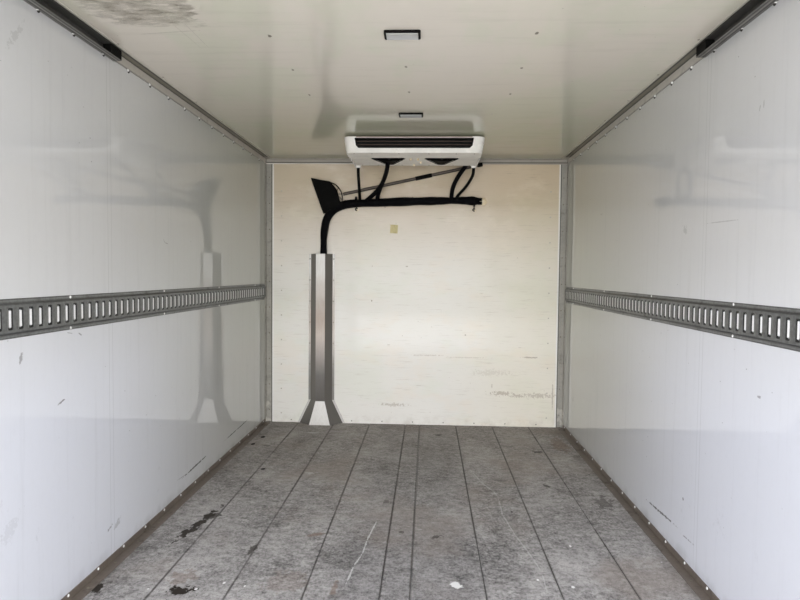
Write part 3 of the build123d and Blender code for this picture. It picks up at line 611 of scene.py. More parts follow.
@dataclass(frozen=True)
class LiningFinish(Finish):
    """Cream bulkhead lining, browner along its top, with fine level marks."""

    top: float = 2.42
    stain: Colour = (0.30, 0.23, 0.16)
    specks: Sequence[Mark] = BULKHEAD.marks(
        (-0.343, 1.318, 0.006, 0.006, 0.0, 0.8), (-0.06, 1.6, 0.01, 0.005, 0.0, 0.5),
        (-0.34, 1.6, 0.006, 0.004, 0.0, 0.4), (-0.2, 0.96, 0.012, 0.004, 0.0, 0.4),
        (0.42, 1.05, 0.006, 0.006, 0.0, 0.6), (0.64, 0.64, 0.004, 0.02, 0.0, 0.4),
        (0.945, 0.874, 0.06, 0.006, 0.0, 0.5, 1.2), (0.11, 0.88, 0.12, 0.005, 0.0, 0.28, 1.4),
        (0.42, 0.866, 0.16, 0.004, 0.0, 0.24, 1.4), (0.72, 0.578, 0.07, 0.014, 0.0, 0.45, 2.2),
        (0.845, 0.562, 0.05, 0.01, 0.0, 0.4, 2.2), (1.01, 0.566, 0.11, 0.016, 0.0, 0.36, 2.2),
        (1.128, 0.566, 0.006, 0.11, 0.0, 0.4, 0.6), (-0.16, 0.47, 0.09, 0.01, 0.0, 0.38, 2.2),
        (0.62, 0.745, 0.12, 0.02, 0.0, 0.16, 2.4),
    )

    def paint(self, g: Surface) -> None:
        """Feeds the shader.

        Args:
            g: The material's graph.
        """
        x, z = g.along(AXIS_X), g.along(AXIS_Z)
        haze = g.noise(1.3, detail=4.0)
        grain = g.noise(70.0, detail=5.0, rough=0.65)
        base = g.ramp(haze, (0.3, toned(self.colour, 0.965)), (0.7, self.colour))
        # Partly painted shade, partly dirt: browner and darker towards the top, where less light
        # falls.
        top_shade_and_dirt = z.rise(self.top - 1.00, self.top - 0.10) * 0.85
        base = g.lay(top_shade_and_dirt, base, tinted(self.colour, (0.71, 0.580, 0.435)))
        tea = g.noise(2.4, (1.0, 1.0, 2.0), detail=5.0, rough=0.6).rise(0.50, 0.68) * 0.35
        base = g.lay(tea, base, tinted(self.colour, (1.0, 0.93, 0.86)))
        # Painted shade: darker towards the side walls.
        sides = abs(x).rise(0.55, 1.2) * 0.08
        base = g.lay(sides, base, tinted(self.colour, (0.80, 0.77, 0.70)))
        base = g.filter(x.rise(0.2, 0.9), base, (1.0, 0.975, 0.905))
        green = g.noise(2.1, (1.0, 1.0, 1.6), detail=5.0, rough=0.6).rise(0.44, 0.64) * 0.8
        base = g.filter(green, base, (0.965, 0.99, 0.955))
        # Painted highlight: pale lines along the lining's side edges.
        base = g.lay(abs(x).rise(1.144, 1.149) * 0.8, base, (1.0, 0.99, 0.96))
        weave = g.noise(22.0, (3.0, 1.0, 1.0), detail=6.0, rough=0.70)
        weave = weave + g.noise(22.0, (1.0, 1.0, 4.0), detail=6.0, rough=0.70)
        dashes = g.noise(5.0, (1.2, 1.0, 20.0), detail=7.0, rough=0.72).rise(0.54, 0.74) * 0.30
        ticks = g.noise(9.0, (0.8, 1.0, 9.0), detail=4.0).rise(0.73, 0.75) * z.rise(2.0, 1.2) * 0.35
        specks = g.cells(13.0).rise(0.055, 0.025) * g.noise(2.5, detail=2.0).rise(0.46, 0.58) * 0.5
        foot = z.rise(0.42, 0.32) * g.noise(14.0, detail=7.0, rough=0.7).rise(0.42, 0.72) * 0.22
        marks = (dashes | ticks | specks | foot | g.spots(self.specks, grain)) & 1.0
        g.set(Base_Color=g.lay(marks, base, self.stain))
        g.set(Roughness=0.035 + weave.rise(0.80, 1.25) * 0.10 + marks * 0.3)
        rough = g.noise(2.2, detail=1.0) * 5.0 + weave * 0.8
        g.set(Normal=g.bump(rough, 0.00025, 0.5), IOR=1.80)


@dataclass(frozen=True)
class RoofFinish(TwoSidedFinish):
    """Roof skin with a greasy smudge, hairline scratches and dots."""

    dirt: Colour = (0.15, 0.13, 0.09)
    dots: Sequence[Mark] = (
        CEILING.marks(
            (-0.514, 0.048, 0.007, 0.012), (-0.511, 0.449, 0.006, 0.012),
            (-0.511, 0.842, 0.006, 0.016), (0.004, 0.413, 0.006, 0.012), (0.006, 0.8, 0.006, 0.016),
            (0.516, 0.041, 0.007, 0.012), (0.518, 0.438, 0.007, 0.012),
            (0.521, 0.836, 0.006, 0.016), (0.468, 1.229, 0.006, 0.018, 0.0, 0.7),
        )
        + CEILING.strokes(((-0.802, -0.187), (-0.798, 0.137)), 0.0014, 0.55, 0.4)
        + CEILING.strokes(((-0.85, -0.12), (-0.832, 0.15)), 0.0012, 0.25, 0.4)
        + CEILING.strokes(((-1.01, 0.02), (-0.79, -0.01)), 0.004, 0.22, 0.8)
    )

    def paint(self, g: Surface) -> None:
        """Feeds the shader.

        Args:
            g: The material's graph.
        """
        haze = g.noise(1.1, (1.0, 0.5, 1.0), detail=5.0)
        grain = g.noise(70.0, detail=5.0, rough=0.65)
        base = g.ramp(haze, (0.3, toned(self.colour, 0.95)), (0.7, self.colour))
        x, y = g.along(AXIS_X), g.along(AXIS_Y)
        # Painted shade: darker towards the bulkhead.
        base = g.lay(y.rise(0.3, 1.9), base, tinted(self.colour, (0.74, 0.765, 0.69)))
        streak = g.noise(4.0, (0.5, 5.0, 1.0), detail=7.0, rough=0.68).rise(0.50, 0.72) * 0.08
        base = g.lay(streak, base, self.dirt)
        moss = g.noise(2.6, (1.0, 0.6, 1.0), detail=5.0, rough=0.6).rise(0.44, 0.62) * 0.75
        base = g.filter(moss, base, (0.93, 1.0, 0.93))
        fray = (g.noise(5.0, (1.0, 2.5, 1.0), detail=7.0, rough=0.7) - 0.5) * 0.35
        smudge = (x + fray).near(-0.89, 0.30, 0.05) * (y + fray * 0.5).rise(-0.04, -0.10)
        smudge = smudge * g.noise(16.0, (1.0, 3.0, 1.0), detail=7.0, rough=0.75).rise(0.30, 0.70)
        hair = g.noise(7.0, (1.0, 16.0, 1.0), detail=5.0).rise(0.71, 0.74) * 0.3
        dots = g.cells(9.0, jitter=0.9).rise(0.035, 0.020)
        marks = (smudge * 0.88 | hair * 0.3 | dots * 0.5 | g.spots(self.dots, grain)) & 1.0
        marks = self.sided(g, g.along(AXIS_Z).rise(ROOF + 0.020, ROOF + 0.008), haze, base, marks)
        g.set(Roughness=0.11 + haze * 0.05 + marks * 0.3)
        g.set(Normal=g.bump(g.noise(1.6, detail=1.0), 0.0025, 0.35), IOR=1.48)


@dataclass(frozen=True)
class BoardFinish(Finish):
    """Worn grey floor boards with stains, holes, flecks and scratches."""

    stain: Colour = (0.030, 0.024, 0.019)
    earth: Colour = (0.200, 0.130, 0.090)
    fleck: Colour = (0.80, 0.80, 0.78)
    width: float = 0.2925
    middle: float = 0.058
    stains: Sequence[Mark] = GROUND.marks(
        (-1.149, -0.09, 0.02, 0.05, 0.25, 1.0, 1.4), (-0.825, -0.088, 0.036, 0.042, -0.5, 1.0, 2.2),
        (-0.995, 0.546, 0.02, 0.185, -0.164, 0.97, 1.8),
        (-0.96, 0.64, 0.03, 0.07, -0.35, 0.75, 2.0), (0.169, 0.476, 0.022, 0.022, 0.0, 0.7, 1.6),
        (0.003, 0.521, 0.011, 0.014, 0.0, 0.6), (0.821, 1.22, 0.013, 0.036, 0.5, 0.75),
        (0.899, 1.916, 0.04, 0.018, 0.0, 0.75, 2.0), (0.203, 2.312, 0.03, 0.026, 0.0, 0.65, 1.6),
        (1.075, 0.98, 0.055, 0.075, 0.0, 0.55, 2.2), (-1.017, 1.925, 0.03, 0.008, 0.0, 0.8),
        (-0.653, 0.285, 0.012, 0.05, 0.0, 0.75, 1.6), (0.56, 1.3, 0.04, 0.012, 0.0, 0.35, 1.6),
        (-0.1, 0.9, 0.016, 0.022, 0.0, 0.4, 1.6),
    )
    holes: Sequence[Mark] = GROUND.marks(
        (-1.106, 2.147, 0.017, 0.026, 0.0, 1.0, 0.2), (-1.127, 1.955, 0.015, 0.024, 0.0, 1.0, 0.2),
        (-0.906, 1.404, 0.014, 0.018, 0.0, 1.0, 0.2),
    )
    rust: Sequence[Mark] = GROUND.marks(
        (-0.859, 0.03, 0.05, 0.06, 0.0, 0.35, 1.0), (-0.4, 0.465, 0.052, 0.016, 0.35, 0.6, 1.0),
        (-0.24, -0.02, 0.012, 0.06, 0.0, 0.5, 1.2), (-0.44, 0.02, 0.09, 0.09, 0.0, 0.22, 1.0),
        (1.08, 2.1, 0.06, 0.16, 0.0, 0.4, 1.2),
    )
    chalk: Sequence[Mark] = (
        GROUND.marks(
            (0.238, 0.032, 0.02, 0.03, 0.6, 1.0, 1.0), (-0.68, -0.009, 0.006, 0.008),
            (-0.591, -0.027, 0.006, 0.008), (-0.773, -0.062, 0.005, 0.006),
            (-0.957, -0.074, 0.005, 0.006), (0.773, 0.421, 0.005, 0.008),
            (0.7, 0.048, 0.007, 0.009), (0.571, 0.096, 0.005, 0.007),
            (-0.76, 2.3, 0.045, 0.014, 0.0, 0.45), (-0.6, 1.35, 0.03, 0.016, 0.0, 0.3, 1.4),
        )
        + GROUND.strokes(
            ((-0.128, 0.64), (-0.155, 0.416), (-0.16, 0.288),
             (-0.185, 0.166), (-0.196, 0.034)),
            0.0036, 0.5, 1.2,
        )
        + GROUND.strokes(
            ((0.394, 1.482), (0.446, 1.244), (0.501, 1.098), (0.514, 1.02), (0.509, 0.764),
             (0.539, 0.524), (0.583, 0.285), (0.598, 0.149), (0.59, 0.01)),
            0.0036, 0.25, 1.2,
        )
    )

    def paint(self, g: Surface) -> None:
        """Feeds the shader.

        Args:
            g: The material's graph.
        """
        x, y = g.along(AXIS_X), g.along(AXIS_Y)
        fray = g.noise(26.0, (1.0, 0.8, 1.0), detail=6.0, rough=0.62)
        sand = g.noise(95.0, (1.0, 0.8, 1.0), detail=4.0, rough=0.75)
        grain = g.noise(30.0, (0.7, 1.0, 1.0), detail=9.0, rough=0.76)
        cloud = g.noise(3.0, (1.0, 0.7, 1.0), detail=6.0, rough=0.62)
        base = g.ramp(
            grain * 0.34 + cloud * 0.26 + sand * 0.40,
            (0.39, toned(self.colour, 0.30)),
            (0.49, self.colour),
            (0.605, toned(self.colour, 1.90)),
        )
        brown = g.noise(1.9, detail=4.0).rise(0.50, 0.70) * 0.45
        base = g.lay(brown, base, tinted(self.colour, (0.98, 0.86, 0.76)))
        base = g.lay(y.rise(0.2, 2.6) * 0.25, base, tinted(self.colour, (0.95, 0.84, 0.72)))
        # Painted shadow: a darker band down the middle, strongest near the opening.
        middle_shade = x.near(0.05, 0.42, 0.16) * (y.rise(0.9, 0.0) * 0.5 + 0.5)
        base = g.filter(middle_shade, base, (0.77, 0.77, 0.78))
        pits = g.noise(42.0, (0.7, 1.4, 1.0), detail=6.0, rough=0.7).rise(0.60, 0.76)
        worn = g.noise(20.0, (0.6, 1.2, 1.0), detail=6.0, rough=0.78).rise(0.58, 0.70)
        worn = worn * g.noise(1.5, detail=2.0).rise(0.47, 0.62)
        spots = g.noise(5.2, (1.4, 0.9, 1.0), detail=6.0, rough=0.62).rise(0.715, 0.74)
        edge = (
            abs(x).rise(1.06, 1.19) * g.noise(7.0, (1.0, 0.4, 1.0), detail=6.0).rise(0.35, 0.65)
            * 0.50
        )
        crack = sand.rise(0.58, 0.66) * cloud.rise(0.44, 0.58) * 0.55
        joint = (
            abs(x).repeat(self.width, self.middle).rise(0.009, 0.002) * cloud.rise(0.30, 0.60)
            * 0.55
        )
        dark = (
            (pits * 0.30 | crack | spots * 0.75 | edge | joint | g.spots(self.stains, fray)) & 1.0
        )
        base = g.lay(g.spots(self.rust, fray), base, self.earth)
        base = g.lay(dark, base, self.stain)
        # Painted shade: the holes are painted near-black.
        base = g.lay(g.spots(self.holes, fray), base, (0.004, 0.004, 0.004))
        flecks = g.cells(8.0).rise(0.040, 0.022) * g.noise(2.0, detail=1.0).rise(0.48, 0.56)
        pale = (flecks * 0.8 | worn * 0.30 | g.spots(self.chalk, fray)) & 1.0
        g.set(Base_Color=g.lay(pale, base, self.fleck))
        g.set(Roughness=0.62 + grain * 0.25 - dark * 0.2)
        g.set(Normal=g.bump(grain + pits * 0.6, 0.0009, 0.8), Specular_IOR_Level=0.10)


@dataclass(frozen=True)
class MetalFinish(Finish):
    """Sheet metal with brushed grain, dull bloom and grime."""

    grain: Point = (1.0, 1.0, 1.0)
    grime: float = 0.25
    grime_colour: Colour = (0.06, 0.055, 0.045)
    spangle: float = 0.0

    def tint(self, g: Surface, base: Shade) -> Shade:
        """Changes the colour of some parts; plain metal keeps it."""
        return base

    def paint(self, g: Surface) -> None:
        """Feeds the shader.

        Args:
            g: The material's graph.
        """
        brushed = g.noise(60.0, self.grain, detail=5.0)
        bloom = g.noise(5.0, detail=6.0)
        mix = brushed * 0.4 + bloom * 0.6
        if self.spangle:
            mix = mix + (g.cells(90.0) - 0.5) * self.spangle
        base = self.tint(g, g.ramp(mix, (0.34, toned(self.colour, 0.70)), (0.66, self.colour)))
        dirt = g.noise(11.0, detail=7.0, rough=0.68).rise(0.52, 0.74) * self.grime
        g.set(Base_Color=g.lay(dirt, base, self.grime_colour))
        g.set(Roughness=self.roughness + (bloom - 0.5) * 0.22 + dirt * 0.4)
        g.set(Metallic=self.metallic * (1.0 - dirt))
        g.set(Normal=g.bump(brushed, 0.0004, 0.5))


@dataclass(frozen=True)
class FoldedFinish(MetalFinish):
    """Folded sheet or tube whose parts that lean one way are duller."""

    # How dark the painted shade on the flanks is, as a share of the colour.
    flank_shade: float = 0.30
    axis: int = 0
    lean: tuple[float, float] = (0.15, 0.45)

    def tint(self, g: Surface, base: Shade) -> Shade:
        """Darkens the flanks, found by how far their normal leans along an axis."""
        return g.lay(g.lean(self.axis).rise(*self.lean), base, toned(self.colour, self.flank_shade))


@dataclass(frozen=True)
class DuctFinish(FoldedFinish):
    """Folded duct: bright at its top, tarnished in bands down to a bright flared foot."""

    painted_reflection: Sequence[tuple[float, Colour]] = (
        (0.510, (0.21, 0.20, 0.19)),
        (0.720, (0.27, 0.26, 0.25)),
        (0.860, (0.50, 0.46, 0.43)),
        (1.030, (0.73, 0.64, 0.58)),
        (1.170, (0.61, 0.52, 0.45)),
        (1.310, (0.68, 0.61, 0.56)),
        (1.440, (0.84, 0.79, 0.75)),
        (1.540, (1.00, 0.99, 0.97)),
    )
    low: float = 0.4
    span: float = 1.2
    centre: float = -0.751

    def tint(self, g: Surface, base: Shade) -> Shade:
        """Colours the face and the flanges by their height, and darkens the flanks.

        Args:
            g: The material's graph.
            base: The colour so far.

        Returns:
            The colour.
        """
        x, z = g.along(AXIS_X), g.along(AXIS_Z)
        streak = (g.noise(7.0, (1.0, 1.0, 1.6), detail=6.0, rough=0.6) - 0.5) * 0.10
        # Painted reflection: the bands of colour by height.
        stops = [((at - self.low) / self.span, colour) for at, colour in self.painted_reflection]
        face = g.ramp((z + streak - self.low) / self.span, *stops)
        # Painted highlight: the flanges a little brighter.
        face = g.lay(abs(x - self.centre).rise(0.079, 0.084) * 0.22, face, (1.0, 0.99, 0.96))
        # Painted reflection: the flared foot below half a metre is near-white.
        face = g.lay(z.rise(0.5005, 0.4995), face, (1.0, 0.985, 0.96))
        brushed = g.noise(40.0, self.grain, detail=5.0).rise(0.35, 0.70) * 0.35
        face = g.lay(brushed, face, base, Mode.MULTIPLY)
        return super().tint(g, face)


@dataclass(frozen=True)
class TrimFinish(MetalFinish):
    """Angle trim: a dull olive leg on the roof, a paler leg on the wall, pale at the bulkhead."""

    # The wall leg's colour, paler as painted light.
    leg: Colour = (0.66, 0.625, 0.565)
    # The colour of the trims at the bulkhead, paler as painted light.
    front: Colour = (0.47, 0.445, 0.395)
    # The painted highlight along the front trim's lower edge.
    line: Colour = (1.00, 0.97, 0.92)
    sealant: Colour = (0.56, 0.55, 0.48)

    def tint(self, g: Surface, base: Shade) -> Shade:
        """Colours the legs by their normal and place.

        Args:
            g: The material's graph.
            base: The colour so far.

        Returns:
            The colour.
        """
        y, z = g.along(AXIS_Y), g.along(AXIS_Z)
        wall = g.lean(AXIS_X) > 0.7
        x = abs(g.along(AXIS_X))
        # Painted shadow lines along the roof leg and in the corner.
        base = g.lay(
            x.near(1.1725, 0.009, 0.0015) | x.rise(1.194, 1.202) * 0.8, base,
            toned(self.colour, 0.12),
        )
        base = g.lay(x.rise(1.1685, 1.1675), base, self.sealant)
        # Painted shade along the wall leg's lower edge.
        leg = g.lay(z.rise(2.429, 2.422) * 0.7, self.leg, toned(self.leg, 0.4))
        # Painted light: the wall leg is paler than the roof leg.
        base = g.lay(wall, base, leg)
        # Painted light: the trims at the bulkhead are paler.
        front = (y > 2.53) & ((1.0 - wall) | (y > 2.60))
        base = g.lay(front, base, self.front)
        # Painted highlight along the front trim's lower edge on the left, and a painted shadow line
        # above it.
        edge = z.rise(2.427, 2.425) * g.along(AXIS_X).rise(0.3, -0.4)
        base = g.lay(front * z.near(2.433, 0.007, 0.002) * 0.8, base, toned(self.front, 0.3))
        return g.lay(front * edge, base, self.line)


@dataclass(frozen=True)
class CornerFinish(MetalFinish):
    """Upright angle with a dark line along the lining."""

    def tint(self, g: Surface, base: Shade) -> Shade:
        """Adds the dark line and pale wear low down.

        Args:
            g: The material's graph.
            base: The colour so far.

        Returns:
            The colour.
        """
        worn = g.along(AXIS_Z).rise(0.62, 0.45) * g.noise(18.0, detail=5.0).rise(0.45, 0.60) * 0.5
        base = g.lay(worn, base, toned(self.colour, 1.6))
        # Painted shadow line where the angle meets the lining.
        return g.lay(abs(g.along(AXIS_X)).rise(1.1690, 1.1665), base, toned(self.colour, 0.25))


@dataclass(frozen=True)
class TrackFinish(MetalFinish):
    """Rolled door track with lines along it."""

    def tint(self, g: Surface, base: Shade) -> Shade:
        """Adds dark grooves and pale lips along the track.

        Args:
            g: The material's graph.
            base: The colour so far.

        Returns:
            The colour.
        """
        x, z = abs(g.along(AXIS_X)), g.along(AXIS_Z)
        # Painted shade: the channel above the lower edge.
        side = z.rise(2.4165, 2.4175)
        base = g.lay(side * 0.75, base, toned(self.colour, 0.25))
        # Painted highlight along the lower edge.
        base = g.lay(z.near(2.421, 0.0035, 0.001), base, toned(self.colour, 1.6))
        # Painted shade in the grooves.
        groove_shade = x.near(1.180, 0.004, 0.001) | x.near(1.196, 0.005, 0.001)
        base = g.lay(groove_shade * (1.0 - side) * 0.9, base, toned(self.colour, 0.2))
        # Painted highlight on the lip between the grooves.
        return g.lay(x.near(1.188, 0.003, 0.001) * (1.0 - side), base, toned(self.colour, 1.5))


@dataclass(frozen=True)
class RailFinish(MetalFinish):
    """Zinc-plated rail with dark slot rims, bends and edges."""

    pitch: float = 0.0508
    first: float = 0.0
    middle: float = 1.3855

    def tint(self, g: Surface, base: Shade) -> Shade:
        """Darkens the slots' rims and the bends, and adds pale lines.

        Args:
            g: The material's graph.
            base: The colour so far.

        Returns:
            The colour.
        """
        y = g.along(AXIS_Y)
        up = abs(g.along(AXIS_Z) - self.middle)
        off = y.repeat(self.pitch, self.first)
        inside = up.rise(0.0345, 0.0335)
        ends = up.near(0.0305, 0.0085, 0.0005) * off.rise(0.0085, 0.0070)
        rims = off.near(0.0088, 0.0056, 0.0010) * inside
        bends = up.near(0.0475, 0.0050, 0.0012) | up.near(0.0625, 0.0030, 0.0006)
        # Painted shade round the slots, at their ends and along the bends.
        base = g.lay(rims * 0.9, base, toned(self.colour, 0.14))
        base = g.lay(ends | bends * 0.45, base, toned(self.colour, 0.10))
        # Painted highlight: a glint beside each slot and a pale line along the flange.
        glint = y.repeat(self.pitch, self.first - 0.0128).rise(0.0012, 0.0007) * inside
        pale = up.near(0.0565, 0.0028, 0.0008) * 0.3 | glint
        return g.lay(pale * 0.8, base, toned(self.colour, 2.1))


@dataclass(frozen=True)
class DeckFinish(Finish):
    """White deck whose two fan scoops are black inside."""

    middle: float = 0.010
    apart: float = 0.190
    wide: tuple[float, float] = (2.041, 0.1165)
    narrow: tuple[float, float] = (2.256, 0.0345)

    def paint(self, g: Surface) -> None:
        """Feeds the shader.

        Args:
            g: The material's graph.
        """
        off = abs(abs(g.along(AXIS_X) - self.middle) - self.apart)
        y = g.along(AXIS_Y)
        (y0, r0), (y1, r1) = self.wide, self.narrow
        slant = (r0 - r1) / (y1 - y0)
        steep = math.sqrt(1.0 - slant * slant)
        sides = (off < (r0 - (y - y0) * slant) / steep) * (y > y0) * (y < y1 + r1 * slant)
        disc = (
            ((off * off + (y - y0) * (y - y0)) < r0 * r0)
            | ((off * off + (y - y1) * (y - y1)) < r1 * r1)
        )
        mottle = g.noise(9.0, detail=6.0)
        base = g.ramp(mottle, (0.35, toned(self.colour, 0.88)), (0.65, self.colour))
        # Painted shade: the scoop openings are painted near-black.
        painted_scoop_shade = sides | disc
        g.set(Base_Color=g.lay(painted_scoop_shade, base, (0.004, 0.004, 0.004)))
        g.set(
            Roughness=self.roughness + mottle * 0.2 + painted_scoop_shade * 0.4,
            Normal=g.bump(mottle, 0.0005, 0.3),
        )
        g.set(Specular_IOR_Level=0.12)


@dataclass(frozen=True)
class FoamFinish(Finish):
    """Wrapped foam or rubber with fine wrinkles and dust."""

    wrinkle: float = 90.0
    depth: float = 0.0015

    def paint(self, g: Surface) -> None:
        """Feeds the shader.

        Args:
            g: The material's graph.
        """
        fine = g.noise(self.wrinkle, detail=6.0, rough=0.65)
        dust = g.noise(22.0, detail=6.0).rise(0.5, 0.8)
        pale = tuple(min(1.0, c * 1.7 + 0.006) for c in self.colour)
        g.set(Base_Color=g.lay(dust * 0.5, self.colour, pale))
        g.set(Roughness=self.roughness + fine * 0.2, Normal=g.bump(fine, self.depth, 0.8))
        g.set(Specular_IOR_Level=0.06)


@dataclass(frozen=True)
class LensFinish(Finish):
    """Ribbed, coloured lamp lens."""

    ribs: float = 0.006

    def paint(self, g: Surface) -> None:
        """Feeds the shader.

        Args:
            g: The material's graph.
        """
        ribs = g.along(AXIS_X).repeat(self.ribs) / self.ribs
        cloud = g.noise(40.0, (1.0, 2.5, 1.0), detail=5.0, rough=0.7)
        base = g.ramp(cloud + ribs * 0.1, (0.36, toned(self.colour, 0.35)), (0.66, self.colour))
        g.set(
            Base_Color=base, Roughness=0.30 + cloud * 0.2, Normal=g.bump(ribs + cloud, 0.0006, 0.4)
        )
        g.set(Specular_IOR_Level=0.04)


@dataclass(frozen=True)
class Finishes:
    """Every finish of the load body."""

    wall: Finish = PanelFinish("wall_panel", (0.655, 0.658, 0.662))
    outer: Finish = Finish("outer_skin", (0.80, 0.81, 0.80), 0.24)
    lining: Finish = LiningFinish("bulkhead_lining", (0.975, 0.960, 0.920))
    roof: Finish = RoofFinish("roof_skin", (0.775, 0.72, 0.635))
    boards: Finish = BoardFinish("floor_boards", (0.306, 0.294, 0.283), slot="floor_grey")
    # The trim's dark olive colour is the roof leg in painted shade.
    trim: Finish = TrimFinish(
        "trim_aluminium", (0.23, 0.215, 0.165), 0.42, 0.15, "aluminium", grime=0.28
    )
    corner: Finish = CornerFinish(
        "corner_aluminium", (0.50, 0.485, 0.44), 0.42, 0.20, "aluminium", grime=0.45
    )
    kick: Finish = MetalFinish(
        "kick_aluminium", (0.215, 0.180, 0.150), 0.50, 0.25, "aluminium", grime=0.7
    )
    rail_left: Finish = RailFinish(
        "rail_zinc_left", (0.212, 0.219, 0.216), 0.40, 0.45, "galvanised", grime=0.45, spangle=0.4,
        first=-2.4203
    )
    rail_right: Finish = RailFinish(
        "rail_zinc_right", (0.190, 0.195, 0.193), 0.40, 0.45, "galvanised", grime=0.45, spangle=0.4,
        first=-2.4457
    )
    duct: Finish = DuctFinish(
        "duct_steel", (0.75, 0.705, 0.655), 0.20, 0.35, "stainless", grain=(8.0, 8.0, 0.3),
        grime=0.10, flank_shade=0.24
    )
    frame: Finish = MetalFinish(
        "frame_steel", (0.58, 0.58, 0.57), 0.34, 0.9, "stainless", grain=(6.0, 6.0, 0.3), grime=0.2
    )
    profile: Finish = MetalFinish(
        "profile_aluminium", (0.66, 0.66, 0.66), 0.36, 0.9, "aluminium", grime=0.12
    )
    zinc: Finish = MetalFinish(
        "zinc_plate", (0.46, 0.47, 0.47), 0.42, 0.8, "galvanised", grime=0.4, spangle=0.35
    )
    track: Finish = TrackFinish(
        "track_zinc", (0.20, 0.195, 0.18), 0.45, 0.30, "galvanised", grime=0.4
    )
    # Painted shade on the tube's top and bottom, so that its middle looks lit.
    pole: Finish = FoldedFinish(
        "pole_paint_and_shade", (0.17, 0.145, 0.125), 0.35, 0.2, "aluminium", grime=0.3, axis=2, flank_shade=0.2,
        lean=(0.45, 0.65)
    )
    # Partly painted highlight: the zinc rivet and screw heads are near-white.
    bright: Finish = MetalFinish(
        "fastener_zinc_highlight", (1.0, 0.99, 0.97), 0.30, 0.0, "galvanised", grime=0.05
    )
    shade: Finish = Finish("fastener_shade", (0.035, 0.032, 0.028), 0.7, slot="rubber_black")
    pale: Finish = Finish("fastener_pale", (0.60, 0.56, 0.49), 0.4, slot="galvanised")
    dull: Finish = MetalFinish(
        "fastener_dull", (0.30, 0.27, 0.22), 0.5, 0.5, "galvanised", grime=0.5
    )
    hood: Finish = Finish("hood_white", (1.0, 0.98, 0.95), 0.26, slot="plastic_white")
    lip: Finish = Finish("lip_paint", (0.47, 0.39, 0.34), 0.4, slot="plastic_white")
    under: Finish = DeckFinish("deck_white", (1.0, 0.97, 0.91), 0.35, slot="plastic_white")
    black: Finish = FoamFinish(
        "black_plastic", (0.005, 0.005, 0.005), 0.45, slot="plastic_black", wrinkle=200.0
    )
    blade: Finish = FoamFinish(
        "blade_grey", (0.115, 0.085, 0.075), 0.35, slot="plastic_black", wrinkle=200.0
    )
    wrap: Finish = FoamFinish("pipe_wrap", (0.004, 0.004, 0.005), 0.42, slot="foam_black")
    rubber: Finish = FoamFinish(
        "rubber", (0.006, 0.006, 0.006), 0.5, slot="rubber_black", wrinkle=140.0
    )
    foam: Finish = FoamFinish(
        "seal_foam", (0.98, 0.84, 0.60), 0.7, slot="foam_cream", wrinkle=60.0, depth=0.004
    )
    # White for the painted light seen through the rail slots.
    white: Finish = Finish("slot_light_white", (1.0, 1.0, 1.0), 0.35, slot="plastic_white")
    paper: Finish = MetalFinish(
        "faded_paper", (0.80, 0.71, 0.40), 0.6, 0.0, "foam_cream", (3.0, 1.0, 0.3), 0.8,
        (0.42, 0.33, 0.14)
    )
    # Painted shade: the aluminium coil fins inside the hood are near-black.
    shaded_coil: Finish = MetalFinish(
        "coil_fins_in_shade", (0.012, 0.012, 0.012), 0.45, 0.3, "aluminium", grain=(12.0, 1.0, 0.2),
        grime=0.5
    )
    clear: Finish = FoamFinish(
        "lens_clear", (0.16, 0.155, 0.14), 0.4, slot="lens_clear", wrinkle=120.0
    )
    amber: Finish = LensFinish("lens_amber", (0.75, 0.28, 0.03), slot="lens_amber")
    red: Finish = LensFinish("lens_red", (0.50, 0.02, 0.02), slot="lens_red")

    def of_nodes(self) -> dict[str, Finish]:
        """The finish of each node, also of those that a finer piece stands for.

        Returns:
            Node name to finish.
        """
        groups: dict[Finish, str] = {
            self.wall: "wall_left wall_right",
            self.outer: "bulkhead_panel corner_caps floor_slab door_sections",
            self.lining: "bulkhead_lining",
            self.roof: "roof_panel",
            self.boards: "floor_boards",
            self.trim: "roof_trims",
            self.corner: "corner_trims",
            self.kick: "kick_angles",
            self.rail_left: "load_rail_left",
            self.rail_right: "load_rail_right",
            self.duct: "duct_cover duct_foot",
            self.frame: "rear_posts rear_header rear_sill",
            self.profile: "corner_posts roof_profile_sides roof_profile_front bottom_rails",
            self.track: "door_tracks",
            self.zinc: "door_rollers door_shaft shaft_brackets long_runners cross_members "
            "mount_brackets evaporator_hangers door_hinges",
            self.pole: "slim_tube",
            self.hood: "evaporator_hood drain_spouts",
            self.under: "evaporator_deck",
            self.black: "roof_light_frames evaporator_louvre fan_rings fan_motors "
            "fan_left fan_right door_grip",
            self.wrap: "pipe_bundle coolant_pipe_left coolant_pipe_branch coolant_pipe_right",
            self.rubber: "drain_hoses tube_sleeves dark_flap door_stops buffers pipe_clips",
            self.foam: "foam_seal",
            self.shaded_coil: "evaporator_coil",
            self.clear: "roof_light_lenses",
            self.amber: "side_lamps",
            self.red: "rear_lamps",
        }
        return {node: finish for finish, names in groups.items() for node in names.split()}


# --- Meshes ---


